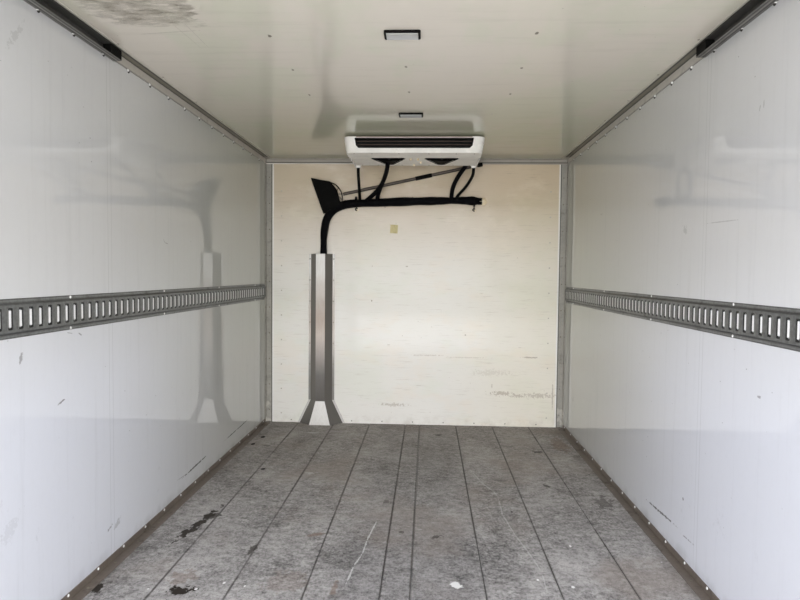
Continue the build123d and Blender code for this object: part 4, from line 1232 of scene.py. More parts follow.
class Sculpt:
    """A mesh under construction, in metres."""

    def __init__(self, name: str) -> None:
        """Starts an empty mesh.

        Args:
            name: The name of the piece that it becomes.
        """
        self.name = name
        self.points: list[Vector] = []
        self.faces: list[tuple[int, ...]] = []

    def rings(
        self, rings: Sequence[Sequence[Vector]], closed: bool = True, caps: bool = False
    ) -> None:
        """Joins rings of as many points each with quads.

        Args:
            rings: The rings, in order.
            closed: Whether each ring's last point joins its first.
            caps: Whether the first and last ring are filled.
        """
        first = len(self.points)
        n = len(rings[0])
        for ring in rings:
            self.points.extend(Vector(p) for p in ring)
        for i in range(len(rings) - 1):
            for j in range(n if closed else n - 1):
                a = first + i * n + j
                b = first + i * n + (j + 1) % n
                self.faces.append((a, b, b + n, a + n))
        if caps:
            last = first + (len(rings) - 1) * n
            self.faces.append(tuple(range(first + n - 1, first - 1, -1)))
            self.faces.append(tuple(range(last, last + n)))

    def block(self, low: Point, high: Point, bevel: float = 0.001) -> None:
        """Adds a box with all its edges bevelled.

        Args:
            low: Its lowest corner.
            high: Its highest corner.
            bevel: The bevel's leg.
        """
        (x0, y0, z0), (x1, y1, z1) = low, high

        def level(inset: float, z: float) -> list[Vector]:
            """The ring of one level.

            Args:
                inset: How far it lies inside the box.
                z: Its height.

            Returns:
                Its eight points.
            """
            a, b = inset, inset + bevel
            places = [(x0 + b, y0 + a), (x1 - b, y0 + a), (x1 - a, y0 + b), (x1 - a, y1 - b)]
            places += [(x1 - b, y1 - a), (x0 + b, y1 - a), (x0 + a, y1 - b), (x0 + a, y0 + b)]
            return [Vector((x, y, z)) for x, y in places]

        levels = [
            level(bevel, z0), level(0.0, z0 + bevel), level(0.0, z1 - bevel), level(bevel, z1)
        ]
        self.rings(levels, caps=True)

    def turned(self, place: Point, axis: Point, steps: Outline, sides: int = 12) -> None:
        """Adds a turned form, such as a rivet head or a washer.

        Args:
            place: Its foot.
            axis: The direction it rises in.
            steps: Radius and height of each ring.
            sides: Corners of a ring.
        """
        up = Vector(axis).normalized()
        side = up.orthogonal().normalized()
        other = up.cross(side)
        rings = []
        for radius, height in steps:
            middle = Vector(place) + up * height
            turns = [2 * math.pi * k / sides for k in range(sides)]
            rings.append(
                [middle + (side * math.cos(t) + other * math.sin(t)) * radius for t in turns]
            )
        self.rings(rings, caps=True)

    def dome(
        self, place: Point, axis: Point, radius: float, height: float, sides: int = 10
    ) -> None:
        """Adds a rivet head.

        Args:
            place: Its foot.
            axis: The direction it rises in.
            radius: Its radius.
            height: Its height.
            sides: Corners of a ring.
        """
        turns = (0.0, 0.5, 0.95, 1.35)
        self.turned(
            place, axis, [(radius * math.cos(t), height * math.sin(t)) for t in turns], sides
        )

    def tube(self, path: Sequence[Vector], radius: Radius, sides: int = 14) -> None:
        """Adds a round tube along a line.

        Args:
            path: Points along its middle.
            radius: Radius at a distance from its start.
            sides: Corners of a ring.
        """
        rings = []
        run = 0.0
        across = (path[1] - path[0]).orthogonal().normalized()
        for i, place in enumerate(path):
            ahead = (path[min(i + 1, len(path) - 1)] - path[max(i - 1, 0)]).normalized()
            across = (across - ahead * across.dot(ahead)).normalized()
            other = ahead.cross(across)
            if i:
                run += (place - path[i - 1]).length
            size = radius(run)
            turns = [2 * math.pi * k / sides for k in range(sides)]
            rings.append(
                [place + (across * math.cos(t) + other * math.sin(t)) * size for t in turns]
            )
        self.rings(rings, caps=True)

    def piece(
        self, finish: Finish, replaces: Sequence[str] = (), body: Body = Body.BOX,
        smooth: float = 35.0
    ) -> bpy.types.Object:
        """Turns the mesh into a piece of the object.

        Args:
            finish: Its finish.
            replaces: The nodes that it stands for.
            body: The body that it rides on.
            smooth: Edges that turn by more than this many degrees stay sharp.

        Returns:
            The piece.
        """
        mesh = bpy.data.meshes.new(self.name)
        mesh.from_pydata(self.points, [], self.faces)
        work = bmesh.new()
        work.from_mesh(mesh)
        bmesh.ops.recalc_face_normals(work, faces=work.faces)
        work.to_mesh(mesh)
        work.free()
        mesh.polygons.foreach_set("use_smooth", [True] * len(mesh.polygons))
        mesh.set_sharp_from_angle(angle=math.radians(smooth))
        mesh.materials.append(finish.material())
        made = bpy.data.objects.new(self.name, mesh)
        bpy.context.scene.collection.objects.link(made)
        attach(made, body.value)
        if replaces:
            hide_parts(*replaces)
        LOG.info("%s: %d points", self.name, len(mesh.vertices))
        return made


def smooth_line(route: Sequence[Point], steps: int = 12) -> list[Vector]:
    """Points along the smooth line of a route.

    Args:
        route: The line's control points.
        steps: Points for each of them.

    Returns:
        The points, from one end to the other.
    """
    curve = bpy.data.curves.new("route", "CURVE")
    curve.dimensions = "3D"
    curve.resolution_u = steps
    spline = curve.splines.new("NURBS")
    spline.points.add(len(route) - 1)
    for control, place in zip(spline.points, route):
        control.co = (*place, 1.0)
    spline.order_u = 3
    spline.use_endpoint_u = True
    holder = bpy.data.objects.new("route", curve)
    mesh = bpy.data.meshes.new_from_object(holder)
    line = [v.co.copy() for v in mesh.vertices]
    bpy.data.objects.remove(holder)
    bpy.data.curves.remove(curve)
    bpy.data.meshes.remove(mesh)
    return line


def spaced(start: float, end: float, pitch: float) -> Iterator[float]:
    """Places from a start on, short of an end.

    Args:
        start: The first place.
        end: The limit.
        pitch: The spacing, negative to go down.

    Yields:
        Each place.
    """
    place = start
    while (end - place) * pitch > 0.0:
        yield place
        place += pitch


def rounded(
    width: float, height: float, radius: float, steps: int = 4
) -> list[tuple[float, float]]:
    """The outline of a rounded rectangle round the origin.

    Args:
        width: Its size across.
        height: Its size up.
        radius: The corners' radius.
        steps: Parts of each corner.

    Returns:
        The outline's points, counter-clockwise, from the right side.
    """
    points = []
    for quarter, (sx, sy) in enumerate(((1, 1), (-1, 1), (-1, -1), (1, -1))):
        for k in range(steps + 1):
            turn = math.pi / 2 * (quarter + k / steps)
            x = sx * (width / 2 - radius) + radius * math.cos(turn)
            y = sy * (height / 2 - radius) + radius * math.sin(turn)
            points.append((x, y))
    return points


# --- Studio and camera ---


@dataclass
class Viewpoint:
    """The photographer's place in the rear opening."""

    place: Point = (0.113, -2.369, 1.541)
    yaw: float = -2.58
    pitch: float = -2.45
    roll: float = 0.56
    lens: float = 27.76
    sensor: float = 36.0

    def build(self) -> bpy.types.Object:
        """Makes the camera and gives it to the scene.

        Returns:
            The camera.
        """
        data = bpy.data.cameras.new("viewpoint")
        data.lens = self.lens
        data.sensor_width = self.sensor
        data.clip_start = 0.02
        data.clip_end = 60.0
        camera = bpy.data.objects.new("viewpoint", data)
        yaw, pitch, roll = (math.radians(a) for a in (self.yaw, self.pitch, self.roll))
        level = math.cos(pitch)
        ahead = Vector((math.sin(yaw) * level, math.cos(yaw) * level, math.sin(pitch)))
        right = Vector((math.cos(yaw), -math.sin(yaw), 0.0))
        up = right.cross(ahead)
        level_right = math.cos(roll) * right + math.sin(roll) * up
        level_up = -math.sin(roll) * right + math.cos(roll) * up
        turn = Matrix((level_right, level_up, -ahead)).transposed().to_4x4()
        camera.matrix_world = Matrix.Translation(self.place) @ turn
        bpy.context.scene.collection.objects.link(camera)
        bpy.context.scene.camera = camera
        return camera


@dataclass(frozen=True)
class Lamp:
    """A soft rectangular lamp that the camera doesn't see."""

    name: str
    watts: float
    size: tuple[float, float]
    place: Point
    aim: Point
    colour: Colour = (1.0, 1.0, 1.0)
    mirrored: bool = False

    def build(self) -> bpy.types.Object:
        """Hangs the lamp.

        Returns:
            The lamp.
        """
        data = bpy.data.lights.new(self.name, "AREA")
        data.shape = "RECTANGLE"
        data.size, data.size_y = self.size
        data.energy = self.watts
        data.color = self.colour
        lamp = bpy.data.objects.new(self.name, data)
        lamp.location = self.place
        lamp.rotation_euler = (
            Vector(self.aim) - Vector(self.place)
        ).to_track_quat("-Z", "Y").to_euler()
        lamp.visible_camera = False
        lamp.visible_glossy = self.mirrored
        bpy.context.scene.collection.objects.link(lamp)
        return lamp


@dataclass
class Studio:
    """Pale floor, white surround and soft light."""

    floor_size: float = 60.0
    floor_colour: Colour = (0.78, 0.78, 0.77)
    surround: float = 0.85
    sky_tint: Colour = (0.97, 0.985, 1.0)
    lamps: Sequence[Lamp] = (
        Lamp("opening", 59.0, (2.3, 1.96), (0.0, -2.70, 1.30), (0.0, 3.0, 1.30), (1.0, 0.99, 0.94)),
        Lamp("horizon", 740.0, (8.0, 4.0), (0.0, -14.0, 3.2), (0.0, 2.6, 1.2), (1.0, 0.985, 0.95)),
        Lamp("west", 640.0, (5.0, 4.0), (-6.5, -12.5, 3.6), (0.6, 1.5, 1.1), (0.82, 0.83, 1.0)),
        Lamp("sky", 470.0, (5.0, 3.0), (0.0, -6.5, 4.6), (0.0, 1.0, 0.6), (0.74, 0.78, 1.0)),
        Lamp("ground", 32.0, (4.0, 3.0), (0.0, -4.6, 0.03), (0.0, -1.5, 2.46), (1.0, 0.85, 0.66)),
        Lamp("key", 400.0, (6.0, 6.0), (6.5, -7.5, 8.0), (0.0, 0.0, 1.2), mirrored=True),
        Lamp("fill", 250.0, (7.0, 5.0), (-8.0, 4.0, 5.0), (0.0, 0.0, 1.2), mirrored=True),
    )

    def build(self) -> None:
        """Makes the floor, the world and the lamps."""
        self._floor()
        self._world()
        for lamp in self.lamps:
            lamp.build()

    def _floor(self) -> None:
        """A plain pale floor that keeps the body's shadow."""
        half = self.floor_size / 2
        corners = [(-half, -half, 0.0), (half, -half, 0.0), (half, half, 0.0), (-half, half, 0.0)]
        mesh = bpy.data.meshes.new("studio_floor")
        mesh.from_pydata(corners, [], [(0, 1, 2, 3)])
        g = Surface("studio_floor")
        grain = g.noise(3.0, detail=3.0)
        stops = (0.3, toned(self.floor_colour, 0.97)), (0.7, self.floor_colour)
        g.set(Base_Color=g.ramp(grain, *stops), Roughness=0.85)
        mesh.materials.append(g.material)
        floor = bpy.data.objects.new("studio_floor", mesh)
        bpy.context.scene.collection.objects.link(floor)

    def _world(self) -> None:
        """A white surround: bright to the camera and to gloss, plain as light."""
        world = bpy.data.worlds.new("surround")
        bpy.context.scene.world = world
        g = Graph(world)
        camera, gloss, glass = (
            g.node(
                "ShaderNodeLightPath", output=f"Is {kind} Ray"
            ) for kind in ("Camera", "Glossy", "Transmission")
        )
        light, white = (
            g.node("ShaderNodeBackground", values={"Color": colour, "Strength": strength})
            for colour, strength in ((self.sky_tint, self.surround), ((1.0, 1.0, 1.0), 1.0))
        )
        mixed = g.node(
            "ShaderNodeMixShader", values={0: camera | gloss | glass, 1: light, 2: white}
        )
        g.feed(g.tree.nodes.new("ShaderNodeOutputWorld").inputs[0], mixed)


# --- Load body ---


@dataclass
class SolidPieces:
    """The packed nodes that keep their own shape."""

    nodes: Mapping[str, bpy.types.Object]
    finishes: Finishes

    def dress(self) -> None:
        """Gives each node its finish."""
        for node, finish in self.finishes.of_nodes().items():
            piece = self.nodes[node]
            piece.data.materials.clear()
            piece.data.materials.append(finish.material())
            LOG.info("%s in %s", node, finish.name)


@dataclass
class LoadRail:
    """A slotted load rail: pressed hat section whose slots have rolled rims."""

    hand: Hand
    finishes: Finishes
    pitch: float = 0.0508
    slot: tuple[float, float] = (0.013, 0.060)
    rim: float = 0.0055
    depth: float = 0.012
    sheet: float = 0.0025
    flange: float = 0.013
    slope: float = 0.008
    screw_pitch: float = 0.8128
    screw: Mapping[Hand, float] = field(
        default_factory=lambda: {Hand.LEFT: -0.147, Hand.RIGHT: -0.110}
    )

    @property
    def node(self) -> str:
        """The node that this rail stands for."""
        return "load_rail_" + self.hand.name.lower()

    def build(self) -> None:
        """Makes the rail, the pale strip behind its slots and its screws."""
        low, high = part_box(self.node)
        wall = high.x if self.hand is Hand.RIGHT else low.x
        tall = high.z - low.z

        def at(out: float, y: float, up: float) -> Vector:
            """The point at a distance from the wall and a height over the rail's foot."""
            return Vector((wall - self.hand.value * out, y, low.z + up))

        rail = Sculpt(self.node + "_pressed")
        web0 = self.flange + self.slope
        t, d, r = self.sheet, self.depth, 0.0015
        lower = [(0.0, 0.0), (t - r, 0.0), (t, r), (t, self.flange - r)]
        lower += [(t + r / 2, self.flange + r / 2), (d - r, web0 - r), (d, web0)]
        ends = (low.y, high.y)
        rail.rings([[at(out, y, up) for out, up in lower] for y in ends], closed=False)
        rail.rings([[at(out, y, tall - up) for out, up in lower] for y in ends], closed=False)
        count = int((high.y - low.y) / self.pitch) - (self.hand is Hand.LEFT)
        margin = (high.y - low.y - (count - 1) * self.pitch) / 2
        half = self.pitch / 2
        for run in ((low.y, low.y + margin - half), (high.y - margin + half, high.y)):
            web = [[at(d, y, up) for up in (web0, tall - web0)] for y in run]
            rail.rings(web, closed=False)
        for i in range(count):
            self._cell(rail, at, low.y + margin + i * self.pitch, tall)
        finish = self.finishes.rail_left if self.hand is Hand.LEFT else self.finishes.rail_right
        rail.piece(finish, [self.node], smooth=28.0)

        # Painted light: a white strip close behind the slots makes them look lit.
        strip = Sculpt(self.node + "_strip")
        reach = self.slot[1] / 2 - 0.0035
        corners = (
            at(d - t - 0.001, low.y + 0.01, tall / 2 - reach),
            at(d - 0.0018, high.y - 0.01, tall / 2 + reach),
        )
        lows = [min(a, b) for a, b in zip(*corners)]
        highs = [max(a, b) for a, b in zip(*corners)]
        strip.block(lows, highs, 0.0002)
        strip.piece(self.finishes.white)

        screws = Sculpt(self.node + "_screws")
        for y in spaced(self.screw[self.hand] - 2 * self.screw_pitch, high.y, self.screw_pitch):
            for up in (self.flange / 2, tall - self.flange / 2):
                screws.dome(at(t, y, up), (-self.hand.value, 0, 0), 0.0055, 0.0028)
        screws.piece(self.finishes.bright)

    def _cell(self, rail: Sculpt, at: Placer, y: float, tall: float) -> None:
        """Adds the part of the web round one slot.

        Args:
            rail: The mesh that grows.
            at: Turns distance from the wall, Y and height into a point.
            y: The slot's middle.
            tall: The rail's height.
        """
        wide, high = self.slot
        half_web = tall / 2 - self.flange - self.slope
        slot = rounded(wide, high, 0.0025)
        bead = rounded(wide + 2 * self.rim, high + 2 * self.rim, 0.0025 + self.rim)
        frame = []
        for quarter, (sx, sy) in enumerate(((1, 1), (-1, 1), (-1, -1), (1, -1))):
            corner = bead[quarter * 5 : quarter * 5 + 5]
            side, top = (sx * self.pitch / 2, sy * half_web)
            if quarter % 2 == 0:
                frame += [(side, corner[0][1]), (side, (corner[0][1] + top) / 2), (side, top)]
                frame += [((corner[4][0] + side) / 2, top), (corner[4][0], top)]
            else:
                frame += [(corner[0][0], top), ((corner[0][0] + side) / 2, top), (side, top)]
                frame += [(side, (corner[4][1] + top) / 2), (side, corner[4][1])]
        d = self.depth
        steps = ((frame, d), (bead, d), (slot, d - 0.0014), (slot, d - self.sheet - 0.0012))
        rail.rings([[at(out, y + a, tall / 2 + b) for a, b in ring] for ring, out in steps])


@dataclass
class Fasteners:
    """Rivets and screws of the panels, trims, duct and outer profiles."""

    finishes: Finishes
    post_pitch: float = 0.2115
    lining_pitch: float = 0.202
    duct_pitch: float = 0.172
    outer_pitch: float = 0.15

    def _places(self, start: float, pitch: float, low: float, high: float) -> list[float]:
        """Evenly spaced places along the body between two limits.

        Args:
            start: Any one of the places.
            pitch: The spacing.
            low: The first limit.
            high: The second limit.

        Returns:
            The places.
        """
        first = math.ceil((low - start) / pitch)
        last = math.floor((high - start) / pitch)
        return [start + k * pitch for k in range(first, last + 1)]

    def build(self) -> None:
        """Makes every row of fasteners."""
        lining_low, lining_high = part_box("bulkhead_lining")
        kick_low, kick_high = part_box("kick_angles")
        trim_low, trim_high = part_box("roof_trims")
        post_low, post_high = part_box("corner_trims")
        names = ("trim_rivets", "panel_rivets", "lining_rivets", "rivet_shadows")
        bright, dull, pale, shade = (Sculpt(name) for name in names)
        for side in (-1, 1):
            inward = (-side, 0, 0)
            x_kick, x_foot = side * (kick_high.x - 0.003), side * (kick_high.x - 0.022)
            x_trim, x_roof = side * (trim_high.x - 0.002), side * (trim_high.x - 0.058)
            x_wall, x_post = side * (post_high.x - 0.002), side * (post_high.x - 0.026)
            x_lining = side * (lining_high.x - 0.076)
            for y in self._places(0.0225, 0.2085, kick_low.y + 0.05, kick_high.y - 0.05):
                bright.dome((x_kick, y, kick_high.z - 0.007), inward, 0.0062, 0.0040)
                dull.dome((x_foot, y + 0.1, kick_low.z + 0.003), UP, 0.0055, 0.0022)
            for y in self._places(0.103, 0.209, trim_low.y + 0.05, trim_high.y - 0.1):
                bright.dome((x_trim, y - 0.003, trim_high.z - 0.043), inward, 0.0066, 0.0062)
                # Painted shadow: a dark ring just below each trim rivet.
                shadow_ring = (x_trim, y + 0.003, trim_high.z - 0.046)
                shade.turned(shadow_ring, inward, [(0.0085, 0.0), (0.0080, 0.0022)])
            for y in self._places(0.118, 0.423, trim_low.y + 0.1, trim_high.y - 0.1):
                dull.dome((x_roof, y, trim_high.z), DOWN, 0.0050, 0.0022)
            for z in spaced(post_low.z + 0.10, post_high.z - 0.04, self.post_pitch):
                dull.dome((x_post, post_high.y - 0.002, z), BACK, 0.0050, 0.0028)
                dull.dome((x_wall, post_low.y + 0.02, z), inward, 0.0050, 0.0028)
            for z in spaced(lining_low.z + 0.075, lining_high.z - 0.03, self.lining_pitch):
                pale.dome((x_lining, lining_low.y, z), BACK, 0.0060, 0.0028)
        for x in spaced(-1.0, 1.01, 0.25):
            dull.dome((x, lining_low.y, lining_low.z + 0.02), BACK, 0.0050, 0.0024)
        self._duct(dull)
        looks = self.finishes
        finished = {bright: looks.bright, dull: looks.dull, pale: looks.pale, shade: looks.shade}
        for rivets, finish in finished.items():
            rivets.piece(finish)
        self._outside()

    def _duct(self, dull: Sculpt) -> None:
        """Adds the screws in the duct's flanges.

        Args:
            dull: The mesh that grows.
        """
        low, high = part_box("duct_cover")
        for z in spaced(high.z - 0.040, low.z + 0.02, -self.duct_pitch):
            for x in (low.x + 0.009, high.x - 0.009):
                dull.dome((x, high.y - 0.002, z), BACK, 0.0058, 0.0030)

    def _outside(self) -> None:
        """Makes the rivets in the outer profiles."""
        low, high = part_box("roof_profile_sides")
        foot_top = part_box("bottom_rails")[1]
        rivets = Sculpt("outer_rivets")
        for side in (-1, 1):
            for y in self._places(0.0, self.outer_pitch, low.y + 0.05, high.y - 0.03):
                for z in (low.z + 0.02, foot_top.z - 0.02):
                    rivets.dome((side * high.x, y, z), (side, 0, 0), 0.006, 0.0028, 8)
            for z in spaced(0.36, 2.4, self.outer_pitch):
                rivets.dome((side * high.x, high.y + 0.052, z), (side, 0, 0), 0.006, 0.0028, 8)
        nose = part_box("roof_profile_front")[1].y
        for x in spaced(-1.05, 1.06, self.outer_pitch):
            for z in (low.z + 0.02, foot_top.z - 0.02):
                rivets.dome((x, nose, z), (0, 1, 0), 0.006, 0.0028, 8)
        rivets.piece(self.finishes.profile)


@dataclass
class Pipework:
    """Taped pipe bundle, insulated pipes, hoses, ties, clip loops and the foam seal."""

    finishes: Finishes
    lining: float = LINING
    roof: float = ROOF
    tape: float = 0.024
    pipe_radius: float = 0.0168
    hose_radius: float = 0.0118
    tail_radius: float = 0.0125
    stand_off: float = 0.034
    bundle: Sequence[Point] = (
        (0.515, 36, 338), (0.400, 36, 332), (0.290, 36, 334), (0.100, 36, 339), (-0.120, 36, 345),
        (-0.330, 36, 355), (-0.470, 36, 359), (-0.560, 36, 367), (-0.650, 36, 405),
        (-0.712, 35, 480), (-0.731, 32, 600), (-0.733, 30, 700), (-0.732, 29, 940),
    )
    pipes: Mapping[str, Sequence[Point]] = field(
        default_factory=lambda: {
            "coolant_pipe_left": (
                (-0.194, 394, 90), (-0.197, 384, 121), (-0.214, 268, 154), (-0.246, 182, 215),
                (-0.296, 104, 270), (-0.352, 60, 312), (-0.392, 38, 340),
            ),
            "coolant_pipe_branch": (
                (-0.250, 176, 220), (-0.276, 118, 258), (-0.296, 66, 308), (-0.301, 38, 340),
            ),
            "coolant_pipe_right": (
                (0.400, 299.7, 84), (0.400, 268, 84), (0.336, 200, 165), (0.297, 122, 238),
                (0.291, 62, 304), (0.290, 38, 338),
            ),
        }
    )
    hoses: Sequence[Sequence[Point]] = (
        (
            (-0.4265, 286.5, 120.3), (-0.4265, 286.5, 158), (-0.436, 160, 207), (-0.440, 64, 300),
            (-0.441, 38, 340),
        ),
        (
            (0.4465, 286.5, 120.3), (0.4465, 286.5, 158), (0.436, 212, 186), (0.396, 122, 244),
            (0.338, 66, 298), (0.316, 38, 338),
        ),
    )

    def _line(self, route: Sequence[Point], steps: int = 12) -> list[Vector]:
        """The smooth line of a route that is measured from the lining and the roof.

        Args:
            route: X, then the distance from the lining and the drop in millimetres.
            steps: Points for each control point.

        Returns:
            The line's points.
        """
        return smooth_line(
            [(x, self.lining - d / 1000, self.roof - drop / 1000) for x, d, drop in route], steps
        )

    def _wound(self, size: Radius, seed: int) -> Radius:
        """A radius with the steps of wound tape and small bumps.

        Args:
            size: The plain radius at a distance from the start.
            seed: Which bumps.

        Returns:
            The radius at a distance from the start.
        """
        dice = random.Random(seed)
        bumps = [
            (dice.uniform(14, 60), dice.uniform(0, 6), dice.uniform(0.3, 1.0)) for _ in range(5)
        ]

        def radius(run: float) -> float:
            """The radius at a distance from the start.

            Args:
                run: The distance.

            Returns:
                The radius.
            """
            step = (run / self.tape) % 1.0
            wave = sum(k * math.sin(run * f + p) for f, p, k in bumps)
            return size(run) * (1.0 + 0.030 * (step - 0.5) + 0.012 * wave)

        return radius

    def build(self) -> None:
        """Makes the pipework."""
        self._bundle()
        for i, (node, route) in enumerate(self.pipes.items()):
            pipe = Sculpt(node + "_taped")
            pipe.tube(self._line(route, 16), self._wound(lambda run: self.pipe_radius, i), 16)
            pipe.piece(self.finishes.wrap, [node], smooth=60.0)
        hoses = Sculpt("drain_hoses_bent")
        for route in self.hoses:
            hoses.tube(self._line(route, 14), lambda run: self.hose_radius, 12)
        hoses.piece(self.finishes.rubber, ["drain_hoses"], smooth=60.0)
        self._fixings()
        self._foam()

    def _bundle(self) -> None:
        """Makes the bundle with its bulges and the two tails at its right end."""
        line = self._line(self.bundle, 26)
        sizes = (
            (0.515, 0.026), (0.456, 0.037), (0.400, 0.030), (0.332, 0.027), (0.291, 0.0255),
            (0.210, 0.030), (0.127, 0.034), (0.020, 0.029), (-0.087, 0.036), (-0.220, 0.033),
            (-0.368, 0.0300), (-0.480, 0.032), (-0.600, 0.034), (-0.700, 0.032), (-0.900, 0.026),
        )
        run, places = 0.0, []
        for i, place in enumerate(line):
            run += (place - line[i - 1]).length if i else 0.0
            deep = min(1.0, max(0.0, (self.roof - 0.52 - place.z) / 0.15))
            places.append((run, place.x if place.z > self.roof - 0.40 else -0.7 - 0.2 * deep))

        def size(distance: float) -> float:
            """The bundle's plain radius, from the table of sizes along X.

            Args:
                distance: How far it is from the start.

            Returns:
                The radius.
            """
            x = min(places, key=lambda q: abs(q[0] - distance))[1]
            for (xa, ra), (xb, rb) in zip(sizes, sizes[1:]):
                if xb <= x <= xa:
                    share = (xa - x) / (xa - xb)
                    share = share * share * (3 - 2 * share)
                    return ra + (rb - ra) * share
            return sizes[0][1] if x > 0 else sizes[-1][1]

        bundle = Sculpt("bundle_taped")
        bundle.tube(line, self._wound(size, 11), 20)
        for rise, push in ((0.014, 30), (-0.015, 38)):
            bends = ((0.462, 0.6), (0.50, 1.0), (0.520, 1.1), (0.534, 1.0))
            route = [(x, push, 338 - 1000 * rise * k) for x, k in bends]
            bundle.tube(self._line(route, 8), self._wound(lambda run: self.tail_radius, 5), 12)
        bundle.piece(self.finishes.wrap, ["pipe_bundle"], smooth=60.0)

    def _fixings(self) -> None:
        """Makes the cable ties, the clip loops with their plugs, and the clamp straps."""
        ties = Sculpt("cable_ties")
        for x, drop, size in (
            (0.430, 331, 0.0275), (0.291, 331, 0.0235), (-0.020, 339, 0.0315),
            (-0.237, 346, 0.0285), (-0.350, 350, 0.0255), (-0.440, 353, 0.0262),
            (-0.560, 365, 0.031),
        ):
            y, z = self.lining - self.stand_off, self.roof - drop / 1000
            steps = [(size, -0.003), (size + 0.0016, -0.003), (size + 0.0016, 0.003), (size, 0.003)]
            ties.turned((x, y, z), (1, 0, -0.02), steps, 18)
            front = y - size
            ties.block((x - 0.005, front - 0.006, z - 0.005), (x + 0.005, front + 0.001, z + 0.005))
        end = ((-0.237, 50, 372), (-0.239, 52, 384), (-0.236, 50, 396))
        ties.tube(self._line(end, 6), lambda run: 0.0018, 8)
        ties.piece(self.finishes.black, smooth=50.0)
        loops = Sculpt("clip_loops")
        plugs = Sculpt("clip_plugs")
        for x, drop in ((-0.471, 404), (0.474, 404)):
            z = self.roof - drop / 1000
            turns = (0.6, 1.6, 2.6, 3.6, 4.6, 5.4)
            ring = [(x + 0.010 * math.cos(t), 8, drop - 10 * math.sin(t)) for t in turns]
            loops.tube(self._line(ring, 6), lambda run: 0.0042, 10)
            stem = [(x, out, drop - rise) for out, rise in ((10, 12), (14, 26), (20, 45))]
            loops.tube(self._line(stem, 6), lambda run: 0.0035, 8)
            strap = [(0.0355, -0.006), (0.0385, -0.006), (0.0385, 0.006), (0.0355, 0.006)]
            loops.turned((x, self.lining - 0.037, self.roof - 0.343), (1, 0, 0), strap, 24)
            plug = [(0.009, 0), (0.009, 0.003), (0.005, 0.008)]
            plugs.turned((x + 0.007, self.lining, z - 0.004), BACK, plug, 12)
        loops.piece(self.finishes.rubber, ["pipe_clips"])
        plugs.piece(self.finishes.foam)

    def _foam(self) -> None:
        """Makes the rough foam round the tails."""
        low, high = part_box("foam_seal")
        middle = (low + high) / 2
        dice = random.Random(3)
        foam = Sculpt("foam_rough")
        rings = []
        sides = 28
        lumps = [
            (dice.randint(2, 7), dice.uniform(0, 6.3), dice.uniform(0.01, 0.05)) for _ in range(6)
        ]
        for level in range(7):
            t = level / 6 * math.pi / 2
            ring = []
            for k in range(sides):
                a = 2 * math.pi * k / sides
                lump = 1.0 + sum(s * math.sin(n * a + p) for n, p, s in lumps)
                r = (high.x - low.x) / 2 * math.cos(t * 0.97) * lump * 1.04
                out = 0.020 * math.sin(t) * (1.0 + 0.12 * math.sin(5 * a + level))
                x, z = middle.x + r * math.cos(a), middle.z + r * math.sin(a)
                ring.append(Vector((x, high.y - out, z)))
            rings.append(ring)
        foam.rings(rings, caps=True)
        foam.piece(self.finishes.foam, ["foam_seal"], smooth=60.0)


@dataclass
class DarkSheet:
    """The dark sheet at the bundle's bend, with its hem, bow, hub and spokes."""

    finishes: Finishes
    lining: float = LINING
    roof: float = ROOF
    distance: float = 0.0655
    corners: Outline = (
        (-0.829, 164), (-0.755, 180), (-0.680, 192), (-0.652, 222), (-0.624, 256), (-0.606, 320),
        (-0.593, 374), (-0.660, 412), (-0.728, 444), (-0.762, 350), (-0.796, 256),
    )
    bow: Outline = (
        (-0.679, 196), (-0.640, 208), (-0.606, 240), (-0.584, 278), (-0.577, 318), (-0.580, 360),
        (-0.590, 388),
    )
    spokes: Outline = ((-0.612, 241), (-0.582, 289), (-0.578, 335), (-0.586, 368))
    hub: tuple[float, float] = (-0.628, 289)

    def _at(self, x: float, drop: float, out: float = 0.0) -> Vector:
        """A point of the sheet, out from its plane."""
        return Vector((x, self.lining - self.distance - out, self.roof - drop / 1000))

    def build(self) -> None:
        """Makes the sheet and its frame."""
        count = len(self.corners)
        middle = Vector(
            (sum(x for x, _ in self.corners) / count, sum(d for _, d in self.corners) / count)
        )
        rings = []
        for level in range(6):
            share = level / 6
            out = 0.004 * math.sin(share * math.pi / 2)
            rings.append(
                [
                    self._at(x + (middle.x - x) * share, d + (middle.y - d) * share, out)
                    for x, d in self.corners
                ]
            )
        sheet = Sculpt("dark_sheet")
        sheet.rings(rings)
        first = len(sheet.points) - count
        sheet.points.append(self._at(middle.x, middle.y, 0.004))
        sheet.faces += [(first + k, first + (k + 1) % count, first + count) for k in range(count)]
        made = sheet.piece(self.finishes.rubber, ["dark_flap"], smooth=60.0)
        xs = [x for x, _ in self.corners]
        drops = [d / 1000 for _, d in self.corners]
        frame = Sculpt("sheet_frame")
        hem = [*self.corners, self.corners[0]]
        for (xa, da), (xb, db) in zip(hem, hem[1:]):
            frame.tube([self._at(xa, da), self._at(xb, db)], lambda run: 0.0032, 8)
        frame.tube(smooth_line([self._at(x, d) for x, d in self.bow]), lambda run: 0.0042, 10)
        for x, drop in self.spokes:
            frame.tube([self._at(*self.hub, 0.002), self._at(x, drop)], lambda run: 0.0022, 8)
        frame.turned(
            self._at(*self.hub, -0.004), BACK, [(0.011, 0), (0.011, 0.012), (0.007, 0.015)], 14
        )
        hem_piece = frame.piece(self.finishes.black, smooth=50.0)


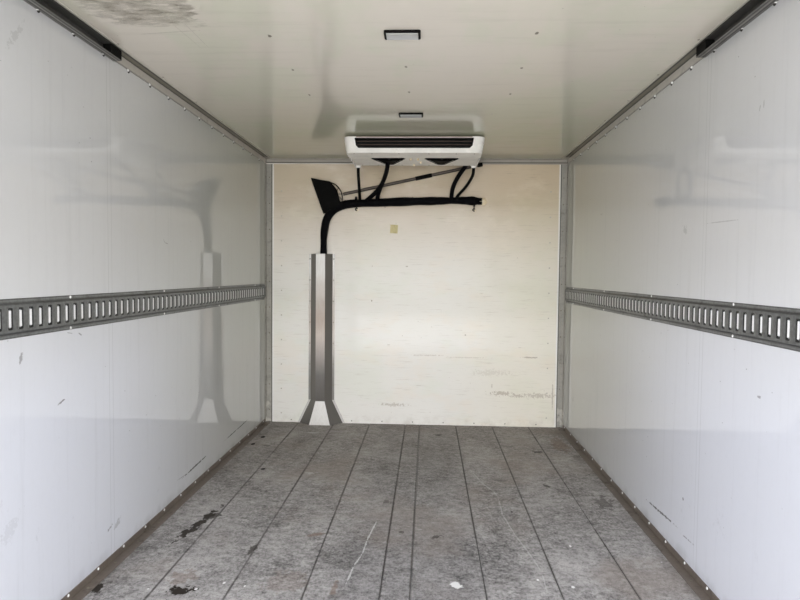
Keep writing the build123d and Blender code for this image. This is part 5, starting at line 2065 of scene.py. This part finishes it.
@dataclass
class EvaporatorDetails:
    """Louvre blades, plugs on the underside and the screws of the hood."""

    finishes: Finishes
    apart: float = 0.190
    scoop_y: float = 2.041
    scoop_radii: tuple[float, float] = (0.106, 0.122)

    def build(self) -> None:
        """Makes the details."""
        low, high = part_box("evaporator_hood")
        mouth_low, mouth_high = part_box("evaporator_louvre")
        middle = (low.x + high.x) / 2
        blades = Sculpt("louvre_blades")
        edges = Sculpt("louvre_edges")
        tall = mouth_high.z - mouth_low.z
        for k in (1, 2):
            z = mouth_high.z - tall * k / 3
            half = (mouth_high.x - mouth_low.x) / 2 - 0.006 * k - 0.004
            y0, y1 = mouth_low.y + 0.004, mouth_high.y
            blades.block((middle - half, y0, z - 0.0016), (middle + half, y1, z + 0.0016), 0.0007)
            edges.block(
                (middle - half, y0 - 0.003, z - 0.0020), (middle + half, y0, z + 0.0020), 0.0007
            )
        half = (mouth_high.x - mouth_low.x) / 2 - 0.004
        y0 = mouth_low.y + 0.001
        top = mouth_high.z
        edges.block(
            (middle - half, y0, top - 0.0035), (middle + half, y0 + 0.003, top - 0.0008), 0.0007
        )
        blades.piece(self.finishes.black, ["evaporator_louvre"])
        edges.piece(self.finishes.blade)
        lip = Sculpt("hood_lip")
        lip.block(
            (mouth_low.x + 0.01, low.y - 0.0012, mouth_high.z + 0.0012),
            (mouth_high.x - 0.01, low.y + 0.004, high.z - 0.0004),
            0.0006,
        )
        lip.piece(self.finishes.lip)
        # Painted shade: black sheets inside the louvre's mouth, at its sides, top, bottom and back.
        dark = Sculpt("louvre_shade_sheets")
        for side in (-1, 1):
            x = middle + side * ((mouth_high.x - mouth_low.x) / 2 - 0.001)
            dark.block(
                (min(x, x - side * 0.012), mouth_low.y, mouth_low.z + 0.001),
                (max(x, x - side * 0.012), mouth_high.y, mouth_high.z),
            )
        back = mouth_high.y + 0.05
        dark.block((mouth_low.x, back, low.z + 0.006), (mouth_high.x, back + 0.004, high.z - 0.006))
        dark.block(
            (mouth_low.x, mouth_high.y, low.z + 0.0045), (mouth_high.x, back, low.z + 0.0075)
        )
        dark.block(
            (mouth_low.x, mouth_high.y, high.z - 0.0085), (mouth_high.x, back, high.z - 0.0055)
        )
        dark.piece(self.finishes.black)
        self._underside(middle)

    def _underside(self, middle: float) -> None:
        """Makes the plugs and screws under the hood, and the dark liners of its scoops.

        Args:
            middle: The hood's middle along X.
        """
        deck_low, deck_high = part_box("evaporator_deck")
        plugs = Sculpt("deck_plugs")
        dark = Sculpt("deck_screws")
        for x, y in ((-0.030, 0.30), (0.022, 0.30), (0.040, 0.42), (-0.010, 0.52)):
            place = (middle + x, deck_low.y + y, deck_low.z + 0.018)
            plugs.turned(place, DOWN, [(0.008, 0), (0.008, 0.008), (0.005, 0.014)], 12)
        for x in (-0.40, -0.28, -0.10, 0.10, 0.28, 0.40):
            dark.dome((middle + x, deck_low.y + 0.03, deck_low.z), DOWN, 0.0045, 0.002)
            dark.dome((middle + x, deck_high.y - 0.02, deck_low.z + 0.018), DOWN, 0.0045, 0.002)
        plugs.piece(self.finishes.foam)
        dark.piece(self.finishes.dull)
        # Painted shade: black sheets laid round the scoops, above the deck.
        scoop_shade = Sculpt("scoop_shade_sheets")
        for side in (-1, 1):
            x, y, z = middle + side * self.apart, self.scoop_y, deck_high.z + 0.0015
            near, far = self.scoop_radii
            inner, outer = [], []
            for k in range(17):
                turn = math.radians(-82 + k * 164 / 16)
                aside, ahead = math.sin(turn), math.cos(turn)
                inner.append(Vector((x + near * aside, y + near * ahead, z)))
                reach = far + 0.150 * ahead**3
                outer.append(Vector((x + far * aside * (1.0 - 0.3 * ahead), y + reach * ahead, z)))
            scoop_shade.rings([inner, outer], closed=False)
        scoop_shade.piece(self.finishes.black)


@dataclass
class Bulkhead:
    """The blank sticker on the bulkhead."""

    finishes: Finishes
    place: tuple[float, float] = (-0.166, 1.900)
    size: tuple[float, float] = (0.062, 0.068)

    def build(self) -> None:
        """Makes the sticker with lifted corners."""
        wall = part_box("bulkhead_lining")[0].y
        sticker = Sculpt("blank_sticker")
        parts, lifted = 6, 0.0006
        rows = []
        for j in range(parts + 1):
            row = []
            for i in range(parts + 1):
                a, b = i / parts - 0.5, j / parts - 0.5
                lift = 0.004 * max(0.0, abs(a) + abs(b) - 0.75) * 4
                x = self.place[0] + a * self.size[0] + 0.004 * b
                z = self.place[1] + b * self.size[1] - 0.003 * a
                row.append(Vector((x, wall - lifted - lift, z)))
            rows.append(row)
        sticker.rings(rows, closed=False)
        sticker.piece(self.finishes.paper, smooth=60.0)


def main() -> None:
    """Builds the scene in order."""
    logging.basicConfig(level=logging.INFO, format="%(message)s")
    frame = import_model()
    bpy.context.scene.view_settings.view_transform = "Standard"
    Viewpoint().build()
    Studio().build()
    finishes = Finishes()
    SolidPieces(frame["nodes"], finishes).dress()
    LoadRail(Hand.LEFT, finishes).build()
    LoadRail(Hand.RIGHT, finishes).build()
    Fasteners(finishes).build()
    Pipework(finishes).build()
    DarkSheet(finishes).build()
    EvaporatorDetails(finishes).build()
    Bulkhead(finishes).build()


if __name__ == "__main__":
    main()
